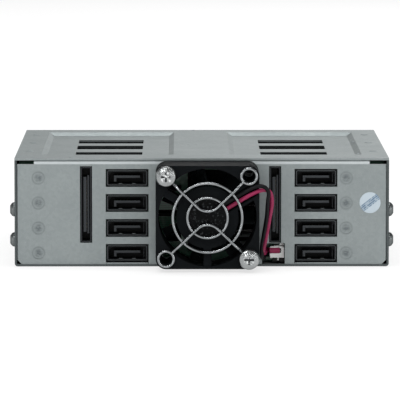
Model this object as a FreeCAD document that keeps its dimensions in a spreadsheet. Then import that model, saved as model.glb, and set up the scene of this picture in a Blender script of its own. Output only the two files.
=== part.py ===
import FreeCAD, Part

import math
import os

import Sketcher

from FreeCAD import Placement, Rotation, Vector

# Hot swap drive cage for one half-height 5.25 inch bay.
# Millimetres. Origin: centre of the case's bottom face.
# +Z up, -Y towards the ports and fan, +Y towards the trays.

doc = FreeCAD.newDocument("HotSwapDriveCage")
sheet = doc.addObject("Spreadsheet::Sheet", "Sizes")

SIZES = {
    # case
    "case_width": 146.0,
    "case_height": 42.3,
    "case_depth": 132.0,
    "steel": 0.8,
    "fold_radius": 1.2,
    "stack_room": 0.1,
    "divider_back_inset": 16.0,
    "divider_front_inset": 4.0,
    "divider_tab_length": 14.0,
    "divider_tab_back_y": 30.0,
    "divider_tab_middle_y": 6.2,
    "divider_tab_front_y": 46.5,
    "slip": 0.1,
    # rails that carry the trays
    "rail_width": 1.6,
    "rail_front_inset": 14.0,
    "rail_break_front": 26.0,
    "rail_break_back": 10.0,
    "rail_back_inset": 22.0,
    "lance_height": 1.6,
    # standard drive bay holes, from the front edge and from the floor
    "bay_hole_front": 47.4,
    "bay_hole_pitch": 79.25,
    "bay_hole_low": 10.0,
    "bay_hole_rise": 11.84,
    "bay_floor_inset": 3.15,
    "bay_hole_radius": 1.5,
    # cover
    "pan_inner": 11.0,
    "pan_outer_inset": 10.0,
    "pan_back_inset": 16.0,
    "pan_front_inset": 12.0,
    "pan_drop": 1.4,
    "pan_slope": 2.0,
    "window_inner": 23.5,
    "window_outer": 50.0,
    "window_length": 15.5,
    "window_back_y": 31.0,
    "window_middle_y": 2.0,
    "window_front_y": 24.5,
    "hem_length": 4.0,
    "rivet_inset": 5.0,
    "rivet_pitch": 38.0,
    "rivet_centre": 3.0,
    "rivet_radius": 1.2,
    "rivet_head_radius": 1.9,
    "rivet_head_height": 0.3,
    "rivet_flat_radius": 1.14,
    "ear_width": 8.0,
    "ear_length": 10.0,
    # rear panel
    "panel_inset": 0.4,
    "panel_fold_radius": 0.72,
    "flange_length": 8.1,
    "top_notch_width": 6.8,
    "top_notch_height": 1.5,
    "bottom_notch": 2.0,
    "foot_inner_left": 50.0,
    "foot_inner_right": 55.0,
    "foot_outer_inset": 6.2,
    "port_opening_width": 16.7,
    "port_opening_height": 7.0,
    "power_opening_width": 4.7,
    "power_opening_low": 9.2,
    "power_top_room": 2.3,
    "stamp_radius": 2.5,
    "stamp_width": 0.35,
    "stamp_depth": 0.15,
    "stamp_left_inset": 8.5,
    "stamp_right_gap": 11.8,
    "lead_opening_left": 23.5,
    "lead_opening_right": 32.4,
    "lead_opening_height": 9.0,
    # board and connectors
    "board_inset": 11.1,
    "board_thickness": 1.6,
    "board_side_gap": 0.8,
    "board_floor_gap": 0.4,
    "board_window_left": 5.5,
    "board_window_right": 21.5,
    "board_window_low": 5.0,
    "board_window_top_room": 4.5,
    "board_slot_length": 11.0,
    "board_slot_height": 2.6,
    "board_slot_x": 19.0,
    "board_ear_width": 7.0,
    "board_ear_height": 8.0,
    "board_ear_low": 4.0,
    "board_ear_top_room": 10.5,
    "board_screw_inset": 3.7,
    "port_left_x": 29.1,
    "port_right_x": 44.5,
    "power_left_x": 45.1,
    "power_right_x": 28.6,
    "port_gap": 0.2,
    "port_recess": 0.2,
    "port_wall": 1.0,
    "port_cavity_depth": 6.2,
    "port_chamfer": 1.2,
    "tongue_length": 10.4,
    "tongue_thickness": 1.2,
    "tongue_rise": 0.35,
    "tongue_foot": 1.3,
    "tongue_setback": 0.7,
    "power_wall": 0.7,
    "power_tongue_margin": 4.25,
    "power_tongue_thickness": 1.2,
    "power_tongue_shift": 0.45,
    "contact_end_room": 1.86,
    "contact_setback": 1.4,
    "contact_width": 0.6,
    "contact_height": 0.15,
    "drive_port_side_room": 6.9,
    "drive_port_width": 42.0,
    "drive_port_height": 5.6,
    "drive_port_length": 7.2,
    "port_drop": 0.5,
    "drive_slot_height": 1.6,
    "data_slot_length": 11.4,
    "power_slot_length": 21.6,
    "drive_slot_depth": 5.4,
    "drive_slot_web": 2.4,
    # trays, measured in each bay from its floor and centre line
    "tray_gap": 0.3,
    "tray_steel": 0.6,
    "tray_room": 0.7,
    "tray_back_inset": 20.0,
    "tray_front_inset": 12.0,
    "drive_hole_back": 33.7,
    "drive_hole_pitch": 76.6,
    "drive_hole_spread": 61.72,
    "drive_hole_radius": 1.6,
    "drive_side_hole_z": 3.9,
    "tray_window_width": 50.0,
    "tray_window_length": 24.0,
    "tray_window_web": 7.0,
    "bezel_gap": 0.6,
    "bezel_reach": 1.5,
    "bezel_lip": 1.2,
    "bezel_corner": 0.8,
    "recess_left": 34.2,
    "recess_right": 17.5,
    "recess_depth": 4.2,
    "vent_width": 2.9,
    "vent_pitch": 4.1,
    "vent_margin": 0.9,
    "vent_first": 27.0,
    "lever_thickness": 3.4,
    "lever_gap": 0.3,
    "pin_radius": 1.0,
    "pin_hole_gap": 0.05,
    "pin_reach": 0.8,
    "button_left": 20.8,
    "button_width": 8.4,
    "button_height": 4.2,
    "button_proud": 0.4,
    "button_travel": 1.2,
    "button_length": 6.5,
    "button_gap": 0.2,
    "lamp_x": 32.4,
    "lamp_radius": 0.8,
    "lamp_low": 3.2,
    "lamp_rise": 3.2,
    "lamp_depth": 1.2,
    # fan
    "fan_x": 2.1,
    "fan_margin": 2.3,
    "fan_depth": 20.0,
    "fan_corner": 4.0,
    "fan_bore_wall": 1.0,
    "fan_hole_inset": 4.0,
    "fan_hole_radius": 2.15,
    "boss_radius": 12.0,
    "boss_set_back": 0.4,
    "boss_thickness": 2.6,
    "strut_width": 3.0,
    "strut_start": 9.6,
    "strut_bite": 0.4,
    "lead_strut_width": 7.0,
    "lead_channel_width": 5.0,
    "lead_channel_depth": 2.1,
    "lead_channel_start": 8.3,
    "lead_channel_end": 28.0,
    "bearing_radius": 3.0,
    "bearing_length": 12.0,
    "stator_radius": 8.5,
    "stator_core_radius": 5.1,
    "stator_pole_start": 4.25,
    "stator_pole_width": 5.1,
    "stator_length": 7.0,
    "stator_fit": 0.02,
    "hub_radius": 11.6,
    "hub_wall": 1.2,
    "hub_front_gap": 1.6,
    "hub_back_gap": 0.5,
    "shaft_radius": 1.0,
    "shaft_gap": 0.05,
    "blade_root_radius": 10.8,
    "blade_tip_gap": 0.8,
    "blade_thickness": 1.1,
    "blade_root_half_depth": 5.6,
    "blade_root_half_rise": 2.9,
    "blade_tip_half_depth": 4.4,
    "blade_tip_half_rise": 3.1,
    # guard
    "guard_wire": 1.15,
    "guard_ring_set": 1.65,
    "guard_ring_step": 5.6,
    "guard_loop": 7.1,
    "guard_shoulder_set": 7.03,
    "guard_ankle_set": 4.33,
    "guard_weld": 0.2,
    "guard_apex": 0.5,
    "guard_apex_radius": 5.5,
    # fasteners
    "screw_radius": 1.5,
    "screw_hole_gap": 0.1,
    "guard_head_radius": 4.0,
    "guard_head_height": 2.5,
    "side_head_radius": 2.8,
    "side_head_height": 1.9,
    "side_screw_length": 4.0,
    "board_screw_radius": 1.2,
    "board_head_radius": 2.4,
    "board_head_height": 1.6,
    "board_screw_length": 4.0,
    # leads, plug and header
    "lead_diameter": 1.6,
    "header_left": 28.2,
    "header_right": 32.2,
    "header_low": 2.0,
    "header_high": 7.8,
    "header_length": 6.6,
    "header_wall": 0.7,
    "plug_left": 27.0,
    "plug_right": 31.2,
    "plug_fit": 0.05,
    "plug_mouth_set": 0.15,
}
ROWS = 4
COLUMNS = 2
BLADES = 7
CONTACTS = 15
VENTS = 10
POLES = 4
LEAD_STRUT_DEGREES = 31
STRUT_DEGREES = (150, 270)
# a pan head's shape as parts of its radius and height
HEAD_CROWN = 0.55
HEAD_SHOULDER = 0.9
SHOULDER_HEIGHT = 0.62
HEAD_SIDE = 0.3
RECESS_HALF = 0.1
RECESS_REACH = 0.48
RECESS_FLOOR = 0.4
# the share of its shorter run that a bend takes where no radius is given
BEND_SHARE = 0.45

for number, (name, value) in enumerate(SIZES.items(), start=1):
    sheet.set("A%d" % number, name)
    sheet.set("B%d" % number, repr(value))
    sheet.setAlias("B%d" % number, name)
doc.recompute()


class Size:
    """A length in mm with the sheet formula that gives it, so that arithmetic stays live in the document."""

    def __init__(self, value, formula):
        self.value = value
        self.formula = formula

    def __add__(self, other):
        return mixed(self, "+", other)

    def __radd__(self, other):
        return mixed(other, "+", self)

    def __sub__(self, other):
        return mixed(self, "-", other)

    def __rsub__(self, other):
        return mixed(other, "-", self)

    def __mul__(self, other):
        return mixed(self, "*", other)

    def __rmul__(self, other):
        return mixed(other, "*", self)

    def __truediv__(self, other):
        return mixed(self, "/", other)

    def __neg__(self):
        return mixed(-1.0, "*", self)


def asSize(given):
    return given if isinstance(given, Size) else Size(float(given), "(%r)" % float(given))


def mixed(left, sign, right):
    left, right = asSize(left), asSize(right)
    results = {
        "+": lambda: left.value + right.value,
        "-": lambda: left.value - right.value,
        "*": lambda: left.value * right.value,
        "/": lambda: left.value / right.value,
    }
    return Size(results[sign](), "(%s %s %s)" % (left.formula, sign, right.formula))


class Sheet:
    """Reads a size by its name, as in s.case_width."""

    def __getattr__(self, name):
        return Size(float(sheet.get(name)), "Sizes." + name)


s = Sheet()


# helpers for the document

def bind(thing, prop, size):
    thing.setExpression(prop, asSize(size).formula)


def place(thing, x=0.0, y=0.0, z=0.0):
    for axis, size in zip("xyz", (x, y, z)):
        bind(thing, "Placement.Base." + axis, size)


def newBody(name):
    body = doc.addObject("PartDesign::Body", name)
    body.Label = name
    return body


def rect(u0, v0, u1, v1):
    return "line", [(u0, v0), (u1, v0), (u1, v1), (u0, v1)]


def poly(points):
    return "line", points


def circle(u, v, radius):
    return "circle", (u, v, radius)


def flatSketch(body, name, plane, level, loops):
    """A fully constrained sketch of closed loops on one origin plane, moved to a level along its axis."""
    sketch = body.newObject("Sketcher::SketchObject", name)
    origin = [item for item in body.Origin.OriginFeatures if item.Role == plane + "_Plane"][0]
    sketch.AttachmentSupport = [(origin, "")]
    sketch.MapMode = "FlatFace"
    # the XZ plane's normal points along -Y
    bind(sketch, "AttachmentOffset.Base.z", -level if plane == "XZ" else level)
    bound = []
    for kind, data in loops:
        if kind == "circle":
            u, v, radius = [asSize(item) for item in data]
            round_ = Part.Circle(Vector(u.value, v.value, 0), Vector(0, 0, 1), radius.value)
            index = sketch.addGeometry(round_)
            bound.append((Sketcher.Constraint("DistanceX", -1, 1, index, 3, u.value), u))
            bound.append((Sketcher.Constraint("DistanceY", -1, 1, index, 3, v.value), v))
            bound.append((Sketcher.Constraint("Radius", index, radius.value), radius))
            continue
        points = [(asSize(u), asSize(v)) for u, v in data]
        corners = [Vector(u.value, v.value, 0) for u, v in points]
        lines = [
            sketch.addGeometry(Part.LineSegment(corner, corners[(i + 1) % len(corners)]))
            for i, corner in enumerate(corners)
        ]
        for i, index in enumerate(lines):
            following = lines[(i + 1) % len(lines)]
            sketch.addConstraint(Sketcher.Constraint("Coincident", index, 2, following, 1))
            u, v = points[i]
            bound.append((Sketcher.Constraint("DistanceX", -1, 1, index, 1, u.value), u))
            bound.append((Sketcher.Constraint("DistanceY", -1, 1, index, 1, v.value), v))
    first = sketch.ConstraintCount
    sketch.addConstraint([constraint for constraint, _ in bound])
    for offset, (_, size) in enumerate(bound):
        if "Sizes." in size.formula:
            bind(sketch, "Constraints[%d]" % (first + offset), size)
    sketch.Visibility = False
    return sketch


def pad(body, name, plane, low, high, loops):
    """Material between two levels along the plane's axis."""
    sketch = flatSketch(body, name + "Sketch", plane, high if plane == "XZ" else low, loops)
    feature = body.newObject("PartDesign::Pad", name)
    feature.Profile = sketch
    bind(feature, "Length", asSize(high) - low)
    return feature


def pocket(body, name, plane, low, high, loops):
    """A cut between two levels along the plane's axis."""
    sketch = flatSketch(body, name + "Sketch", plane, low if plane == "XZ" else high, loops)
    feature = body.newObject("PartDesign::Pocket", name)
    feature.Profile = sketch
    bind(feature, "Length", asSize(high) - low)
    return feature


def loft(body, name, plane, kind, sections):
    """A loft through (level, loops) sections, kind AdditiveLoft or SubtractiveLoft."""
    sketches = [
        flatSketch(body, "%sSection%d" % (name, i), plane, level, loops)
        for i, (level, loops) in enumerate(sections)
    ]
    feature = body.newObject("PartDesign::" + kind, name)
    feature.Profile = sketches[0]
    feature.Sections = sketches[1:]
    feature.Ruled = True
    return feature


def fillet(body, name, radius, chosen):
    """Rounds the edges of the body so far for which chosen(edge) is true."""
    doc.recompute()
    base = body.Tip
    names = ["Edge%d" % (i + 1) for i, edge in enumerate(base.Shape.Edges) if chosen(edge)]
    feature = body.newObject("PartDesign::Fillet", name)
    feature.Base = (base, names)
    bind(feature, "Radius", radius)
    return feature


def runsAlong(edge, axis):
    if edge.Curve.TypeId != "Part::GeomLine":
        return False
    return abs(edge.Curve.Direction.dot(axis)) > 0.999


def near(value, size, slack=0.01):
    return abs(value - asSize(size).value) < slack


def group(name, members):
    compound = doc.addObject("Part::Compound", name)
    compound.Label = name
    compound.Links = members
    return compound


NODES = []


def node(thing):
    NODES.append(thing)
    return thing


# ---- places worked out from the sizes ----

halfWidth = s.case_width / 2
halfDepth = s.case_depth / 2
innerHalfWidth = halfWidth - s.steel
coverUnder = s.case_height - s.steel
panelBack = -halfDepth + s.panel_inset
panelFront = panelBack + s.steel
boardFront = -halfDepth + s.board_inset
boardBack = boardFront - s.board_thickness
bayWidth = innerHalfWidth - s.steel / 2
bayCentre = s.steel / 2 + bayWidth / 2
trayHalf = bayWidth / 2 - s.tray_gap
bayHoleFrontY = halfDepth - s.bay_hole_front
bayHoleBackY = bayHoleFrontY - s.bay_hole_pitch
bayHoleHighZ = s.bay_hole_low + s.bay_hole_rise
screwHole = s.screw_radius + s.screw_hole_gap
fanZ = s.case_height / 2
fanBack = panelBack - s.fan_depth
fanWidth = s.case_height - s.fan_margin
boreRadius = fanWidth / 2 - s.fan_bore_wall
fanHole = fanWidth / 2 - s.fan_hole_inset
fanHoleReach = fanHole * math.sqrt(2)
rowPitch = (coverUnder - s.pan_drop - s.steel - s.stack_room) / ROWS
trayHeight = rowPitch - s.steel - s.tray_gap - s.tray_room
trayBack = -halfDepth + s.tray_back_inset
trayFront = halfDepth - s.tray_front_inset
bezelHeight = rowPitch - s.bezel_gap
bezelFront = halfDepth + s.bezel_reach
dividerBack = -halfDepth + s.divider_back_inset
dividerFront = halfDepth - s.divider_front_inset
panOuter = halfWidth - s.pan_outer_inset
powerHeight = coverUnder - s.power_top_room - s.power_opening_low
powerZ = s.power_opening_low + powerHeight / 2
rivetX = halfWidth - s.rivet_inset


def rowFloor(row):
    return s.steel + row * rowPitch


def rowPort(row):
    return rowFloor(row) + rowPitch / 2 - s.port_drop


def columnX(column):
    return (2 * column - 1) * bayCentre


railSpans = (
    (s.rail_break_front, halfDepth - s.rail_front_inset),
    (-halfDepth + s.rail_back_inset, s.rail_break_back),
)
rivetPlaces = [
    (side * rivetX, s.rivet_centre + step * s.rivet_pitch) for side in (-1, 1) for step in (-1, 0, 1)
]
boardEars = (s.board_ear_low, coverUnder - s.board_ear_top_room)
boardScrewPlaces = [
    (side * (innerHalfWidth - s.board_screw_inset), low + s.board_ear_height / 2)
    for side in (-1, 1)
    for low in boardEars
]
dividerTabs = (-s.divider_tab_back_y, s.divider_tab_middle_y, s.divider_tab_front_y)


# ---- case ----

def chassisBase():
    """Floor and side walls folded from one sheet, with lanced rails, riveting ears and board ears."""
    body = newBody("chassis_base")
    channel = [
        (-halfWidth, 0), (halfWidth, 0), (halfWidth, coverUnder), (innerHalfWidth, coverUnder),
        (innerHalfWidth, s.steel), (-innerHalfWidth, s.steel), (-innerHalfWidth, coverUnder),
        (-halfWidth, coverUnder),
    ]
    pad(body, "Channel", "XZ", -halfDepth, halfDepth, [poly(channel)])

    def outerFold(edge):
        middle = edge.CenterOfMass
        return runsAlong(edge, Vector(0, 1, 0)) and near(middle.z, 0) and near(abs(middle.x), halfWidth)

    fillet(body, "OuterFold", s.fold_radius, outerFold)
    for side in (-1, 1):
        wall = side * innerHalfWidth
        tag = "Left" if side < 0 else "Right"
        for span, (back, front) in enumerate(railSpans):
            rails = [
                rect(wall, rowFloor(row) - s.steel, wall - side * s.rail_width, rowFloor(row))
                for row in range(1, ROWS)
            ]
            pad(body, "Rails%s%d" % (tag, span), "XZ", back, front, rails)
        lances = [
            rect(back, rowFloor(row), front, rowFloor(row) + s.lance_height)
            for row in range(1, ROWS)
            for back, front in railSpans
        ]
        low, high = (-halfWidth, -innerHalfWidth) if side < 0 else (innerHalfWidth, halfWidth)
        pocket(body, "Lances" + tag, "YZ", low, high, lances)
        holes = [
            circle(bayHoleFrontY, s.bay_hole_low, s.bay_hole_radius),
            circle(bayHoleFrontY, bayHoleHighZ, s.bay_hole_radius),
            circle(bayHoleBackY, s.bay_hole_low, screwHole),
            circle(bayHoleBackY, bayHoleHighZ, screwHole),
        ]
        pocket(body, "BayHoles" + tag, "YZ", low, high, holes)
        ears = [
            rect(wall, y - s.ear_length / 2, wall - side * s.ear_width, y + s.ear_length / 2)
            for x, y in rivetPlaces
            if x.value * side > 0
        ]
        pad(body, "Ears" + tag, "XY", coverUnder - s.steel, coverUnder, ears)
        lugEdge = wall - side * s.board_ear_width
        lugs = [rect(wall, low, lugEdge, low + s.board_ear_height) for low in boardEars]
        pad(body, "BoardEars" + tag, "XZ", boardBack - s.steel, boardBack, lugs)
    pocket(body, "EarHoles", "XY", coverUnder - s.steel, coverUnder,
           [circle(x, y, s.rivet_radius + s.slip) for x, y in rivetPlaces])
    pocket(body, "BoardEarHoles", "XZ", boardBack - s.steel, boardBack,
           [circle(x, z, s.board_screw_radius + s.slip) for x, z in boardScrewPlaces])
    floorHoles = [
        circle(side * (halfWidth - s.bay_floor_inset), y, s.bay_hole_radius)
        for side in (-1, 1)
        for y in (bayHoleFrontY, bayHoleBackY)
    ]
    slots = [
        rect(-s.steel / 2 - s.slip, y - s.divider_tab_length / 2 - s.slip,
             s.steel / 2 + s.slip, y + s.divider_tab_length / 2 + s.slip)
        for y in dividerTabs
    ]
    pocket(body, "FloorHoles", "XY", 0, s.steel, floorHoles + slots)
    return node(body)


def centreDivider():
    """The wall between the two columns, its rails lanced to both sides, tabs through the floor."""
    body = newBody("centre_divider")
    edge = [(dividerBack, s.steel)]
    for y in dividerTabs:
        start, end = y - s.divider_tab_length / 2, y + s.divider_tab_length / 2
        edge += [(start, s.steel), (start, 0), (end, 0), (end, s.steel)]
    edge += [(dividerFront, s.steel), (dividerFront, coverUnder), (dividerBack, coverUnder)]
    pad(body, "Wall", "YZ", -s.steel / 2, s.steel / 2, [poly(edge)])
    lances = [
        rect(back, rowFloor(row), front, rowFloor(row) + s.lance_height)
        for row in range(1, ROWS)
        for back, front in railSpans
    ]
    pocket(body, "Lances", "YZ", -s.steel / 2, s.steel / 2, lances)
    reach = s.steel / 2 + s.rail_width
    for span, (back, front) in enumerate(railSpans):
        rails = [rect(-reach, rowFloor(row) - s.steel, reach, rowFloor(row)) for row in range(1, ROWS)]
        pad(body, "Rails%d" % span, "XZ", back, front, rails)
    return node(body)


def topCover():
    """Flat sheet with two pressed pans, three windows in each, and a hem folded under its front edge."""
    body = newBody("top_cover")
    outline = rect(-halfWidth, -halfDepth, halfWidth, halfDepth)
    pad(body, "Sheet", "XY", coverUnder, s.case_height, [outline])
    hemHalf = innerHalfWidth - s.tray_gap
    hem = rect(-hemHalf, halfDepth - s.hem_length, hemHalf, halfDepth)
    pad(body, "Hem", "XY", coverUnder - s.steel, coverUnder, [hem])
    for side in (-1, 1):
        tag = "Left" if side < 0 else "Right"
        inner, outer = side * s.pan_inner, side * panOuter
        back, front = -halfDepth + s.pan_back_inset, halfDepth - s.pan_front_inset
        slope = side * s.pan_slope
        grow = side * s.steel

        def panOutline(inset, spread):
            """The pan's outline, moved in by the slope and out by the sheet's own thickness."""
            return [rect(
                inner + inset * slope - spread * grow, back + inset * s.pan_slope - spread * s.steel,
                outer - inset * slope + spread * grow, front - inset * s.pan_slope + spread * s.steel)]

        loft(body, "Pan" + tag, "XY", "AdditiveLoft", [
            (coverUnder, panOutline(0, 1)),
            (coverUnder - s.pan_drop, panOutline(1, 1)),
        ])
        loft(body, "PanHollow" + tag, "XY", "SubtractiveLoft", [
            (s.case_height, panOutline(0, 0)),
            (s.case_height - s.pan_drop, panOutline(1, 0)),
        ])
        windows = [
            rect(side * s.window_inner, y - s.window_length / 2,
                 side * s.window_outer, y + s.window_length / 2)
            for y in (-s.window_back_y, -s.window_middle_y, s.window_front_y)
        ]
        pocket(body, "Windows" + tag, "XY", coverUnder - s.pan_drop, s.case_height - s.pan_drop, windows)
    pocket(body, "RivetHoles", "XY", coverUnder, s.case_height,
           [circle(x, y, s.rivet_radius + s.slip) for x, y in rivetPlaces])
    return node(body)


def coverRivets():
    rivets = []
    for number, (x, y) in enumerate(rivetPlaces, start=1):
        body = newBody("rivet_%d" % number)
        head = s.rivet_head_radius
        under = -2 * s.steel
        profile = [
            (0, under - s.rivet_head_height), (head, under - s.rivet_head_height), (head, under),
            (s.rivet_radius, under), (s.rivet_radius, 0), (head, 0),
            (s.rivet_flat_radius, s.rivet_head_height), (0, s.rivet_head_height),
        ]
        revolve(body, "Turned", profile)
        place(body, x, y, s.case_height)
        rivets.append(body)
    return node(group("cover_rivets", rivets))


def revolve(body, name, profile):
    """Turns a (radius, height) outline about the body's own Z axis."""
    sketch = flatSketch(body, name + "Sketch", "XZ", 0, [poly(profile)])
    feature = body.newObject("PartDesign::Revolution", name)
    feature.Profile = sketch
    feature.ReferenceAxis = (sketch, ["V_Axis"])
    feature.Angle = 360
    return feature


def rearPanel():
    """Sheet with folded flanges, openings for ports, leads and fan, and a stamped ring beside each port."""
    body = newBody("rear_panel")
    face = rect(-innerHalfWidth, s.steel, innerHalfWidth, coverUnder)
    pad(body, "Face", "XZ", panelBack, panelFront, [face])
    flangeFront = panelBack + s.flange_length
    topHalf = innerHalfWidth - s.top_notch_width
    footOuter = innerHalfWidth - s.foot_outer_inset
    flanges = [
        rect(-topHalf, coverUnder - s.steel, topHalf, coverUnder),
        rect(-footOuter, s.steel, -s.foot_inner_left, 2 * s.steel),
        rect(s.foot_inner_right, s.steel, footOuter, 2 * s.steel),
    ]
    for side in (-1, 1):
        flanges.append(rect(
            side * (innerHalfWidth - s.steel), s.steel + s.bottom_notch, side * innerHalfWidth,
            coverUnder - s.top_notch_height - s.steel))
    pad(body, "Flanges", "XZ", panelFront, flangeFront, flanges)

    def fold(edge):
        middle = edge.CenterOfMass
        if not near(middle.y, panelBack):
            return False
        onTop = runsAlong(edge, Vector(1, 0, 0)) and near(middle.z, coverUnder)
        onSide = runsAlong(edge, Vector(0, 0, 1)) and near(abs(middle.x), innerHalfWidth)
        return onTop or onSide

    fillet(body, "Folds", s.panel_fold_radius, fold)
    notches = []
    for side in (-1, 1):
        edge = side * innerHalfWidth
        notches.append(rect(
            edge, coverUnder - s.top_notch_height, edge - side * s.top_notch_width, coverUnder))
        notches.append(poly([
            (edge, s.steel), (edge - side * s.bottom_notch, s.steel), (edge, s.steel + s.bottom_notch)]))
    pocket(body, "CornerNotches", "XZ", panelBack, panelFront, notches)
    openings = []
    for x in (-s.port_left_x, s.port_right_x):
        for row in range(ROWS):
            low = s.steel if row == 0 else rowPort(row) - s.port_opening_height / 2
            openings.append(rect(
                x - s.port_opening_width / 2, low,
                x + s.port_opening_width / 2, rowPort(row) + s.port_opening_height / 2))
    for x in (-s.power_left_x, s.power_right_x):
        openings.append(rect(
            x - s.power_opening_width / 2, s.power_opening_low,
            x + s.power_opening_width / 2, s.power_opening_low + powerHeight))
    openings.append(rect(s.lead_opening_left, s.steel, s.lead_opening_right, s.lead_opening_height))
    openings.append(circle(s.fan_x, fanZ, boreRadius))
    for dx in (-1, 1):
        for dz in (-1, 1):
            openings.append(circle(s.fan_x + dx * fanHole, fanZ + dz * fanHole, screwHole))
    pocket(body, "Openings", "XZ", panelBack, panelFront, openings)
    stamps = []
    for x in (-innerHalfWidth + s.stamp_left_inset, s.port_right_x + s.stamp_right_gap):
        for row in range(ROWS):
            stamps.append(circle(x, rowPort(row), s.stamp_radius))
            stamps.append(circle(x, rowPort(row), s.stamp_radius - s.stamp_width))
    pocket(body, "Stamps", "XZ", panelBack, panelBack + s.stamp_depth, stamps)
    for tag, low in (("Left", -innerHalfWidth), ("Right", innerHalfWidth - s.steel)):
        pocket(body, "FlangeHoles" + tag, "YZ", low, low + s.steel,
               [circle(bayHoleBackY, z, screwHole) for z in (s.bay_hole_low, bayHoleHighZ)])
    return node(body)


# ---- board and connectors ----

def backplaneBoard():
    """Circuit board across the case, with an air window and slots between the rows."""
    body = newBody("backplane_pcb")
    half = innerHalfWidth - s.board_side_gap
    low, high = s.steel + s.board_floor_gap, coverUnder - s.steel - s.board_floor_gap
    pad(body, "Board", "XZ", boardBack, boardFront, [rect(-half, low, half, high)])
    windowTop = coverUnder - s.board_window_top_room
    cuts = [rect(-s.board_window_left, s.board_window_low, s.board_window_right, windowTop)]
    for row in range(1, ROWS):
        middle = rowPort(row) - rowPitch / 2
        cuts.append(rect(
            -s.board_slot_x, middle - s.board_slot_height / 2,
            -s.board_slot_x + s.board_slot_length, middle + s.board_slot_height / 2))
    cuts += [circle(x, z, s.board_screw_radius + s.slip) for x, z in boardScrewPlaces]
    pocket(body, "Cuts", "XZ", boardBack, boardFront, cuts)
    return node(body)


def sataPort(number, x, row):
    """Seven-contact data connector: an open shroud with an L shaped tongue."""
    body = newBody("sata_port_%d" % number)
    half = s.port_opening_width / 2 - s.port_gap
    tall = s.port_opening_height / 2 - s.port_gap
    back = panelBack + s.port_recess
    pad(body, "Shroud", "XZ", back, boardBack, [rect(-half, -tall, half, tall)])
    inner, roof = half - s.port_wall, tall - s.port_wall
    cavity = [
        (-inner, -roof), (inner, -roof), (inner, roof - s.port_chamfer), (inner - s.port_chamfer, roof),
        (-inner + s.port_chamfer, roof), (-inner, roof - s.port_chamfer),
    ]
    pocket(body, "Cavity", "XZ", back, back + s.port_cavity_depth, [poly(cavity)])
    left, right = -s.tongue_length / 2, s.tongue_length / 2
    top, under = s.tongue_rise + s.tongue_thickness / 2, s.tongue_rise - s.tongue_thickness / 2
    tongue = [
        (left, top), (left, under - s.tongue_foot), (left + s.tongue_thickness, under - s.tongue_foot),
        (left + s.tongue_thickness, under), (right, under), (right, top),
    ]
    pad(body, "Tongue", "XZ", back + s.tongue_setback, back + s.port_cavity_depth, [poly(tongue)])
    place(body, x, 0, rowPort(row))
    return node(body)


def powerPort(name, x):
    """Fifteen-contact power connector stood on end, its contacts along one face of the tongue."""
    body = newBody(name)
    half = s.power_opening_width / 2 - s.port_gap
    tall = powerHeight / 2 - s.port_gap
    back = panelBack + s.port_recess
    pad(body, "Shroud", "XZ", back, boardBack, [rect(-half, -tall, half, tall)])
    inner, roof = half - s.power_wall, tall - s.power_wall
    pocket(body, "Cavity", "XZ", back, back + s.port_cavity_depth, [rect(-inner, -roof, inner, roof)])
    reach = powerHeight / 2 - s.power_tongue_margin
    left = -s.power_tongue_shift - s.power_tongue_thickness / 2
    right = left + s.power_tongue_thickness
    tongue = rect(left, -reach, right, reach)
    pad(body, "Tongue", "XZ", back + s.tongue_setback, back + s.port_cavity_depth, [tongue])
    span = reach - s.contact_end_room
    contacts = []
    for index in range(CONTACTS):
        middle = span * (2 * index / (CONTACTS - 1) - 1)
        contacts.append(rect(
            right, middle - s.contact_width / 2, right + s.contact_height, middle + s.contact_width / 2))
    pad(body, "Contacts", "XZ", back + s.contact_setback, back + s.port_cavity_depth, contacts)
    place(body, x, 0, powerZ)
    return node(body)


def driveConnectors():
    """One combined data and power socket for each bay, on the front of the board."""
    sockets = []
    for column in range(COLUMNS):
        for row in range(ROWS):
            body = newBody("drive_connector_%d" % (column * ROWS + row + 1))
            half = s.drive_port_width / 2
            tall = s.drive_port_height / 2
            front = boardFront + s.drive_port_length
            pad(body, "Block", "XZ", boardFront, front, [rect(-half, -tall, half, tall)])
            slotHalf = s.drive_slot_height / 2
            dataStart = -(s.data_slot_length + s.drive_slot_web + s.power_slot_length) / 2
            powerStart = dataStart + s.data_slot_length + s.drive_slot_web
            slots = [
                rect(dataStart, -slotHalf, dataStart + s.data_slot_length, slotHalf),
                rect(powerStart, -slotHalf, powerStart + s.power_slot_length, slotHalf),
            ]
            pocket(body, "Slots", "XZ", front - s.drive_slot_depth, front, slots)
            bayRight = columnX(column) + bayWidth / 2
            place(body, bayRight - s.drive_port_side_room - half, 0, rowPort(row))
            sockets.append(body)
    return node(group("drive_connectors", sockets))


def fanHeader():
    """White socket on the board that opens sideways to the plug."""
    body = newBody("fan_header")
    back = boardBack - s.header_length
    outline = rect(s.header_left, s.header_low, s.header_right, s.header_high)
    pad(body, "Shell", "XZ", back, boardBack, [outline])
    wall = s.header_wall
    pocket(body, "Cavity", "YZ", s.header_left, s.plug_right + s.plug_fit,
           [rect(back + wall, s.header_low + wall, boardBack - wall, s.header_high - wall)])
    return node(body)


def fanPlug():
    """Plug that fills the header's mouth."""
    body = newBody("fan_plug")
    inset = s.header_wall + s.plug_fit
    back, front = boardBack - s.header_length + inset, boardBack - inset
    low, high = s.header_low + inset, s.header_high - inset
    pad(body, "Block", "YZ", s.plug_left, s.plug_right, [rect(back, low, front, high)])
    return node(body)


# ---- fasteners ----

def crossRecess(half, reach):
    """Outline of a cross recess, half its slot's width and its reach."""
    return poly([
        (half, half), (reach, half), (reach, -half), (half, -half), (half, -reach), (-half, -reach),
        (-half, -half), (-reach, -half), (-reach, half), (-half, half), (-half, reach), (half, reach),
    ])


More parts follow.
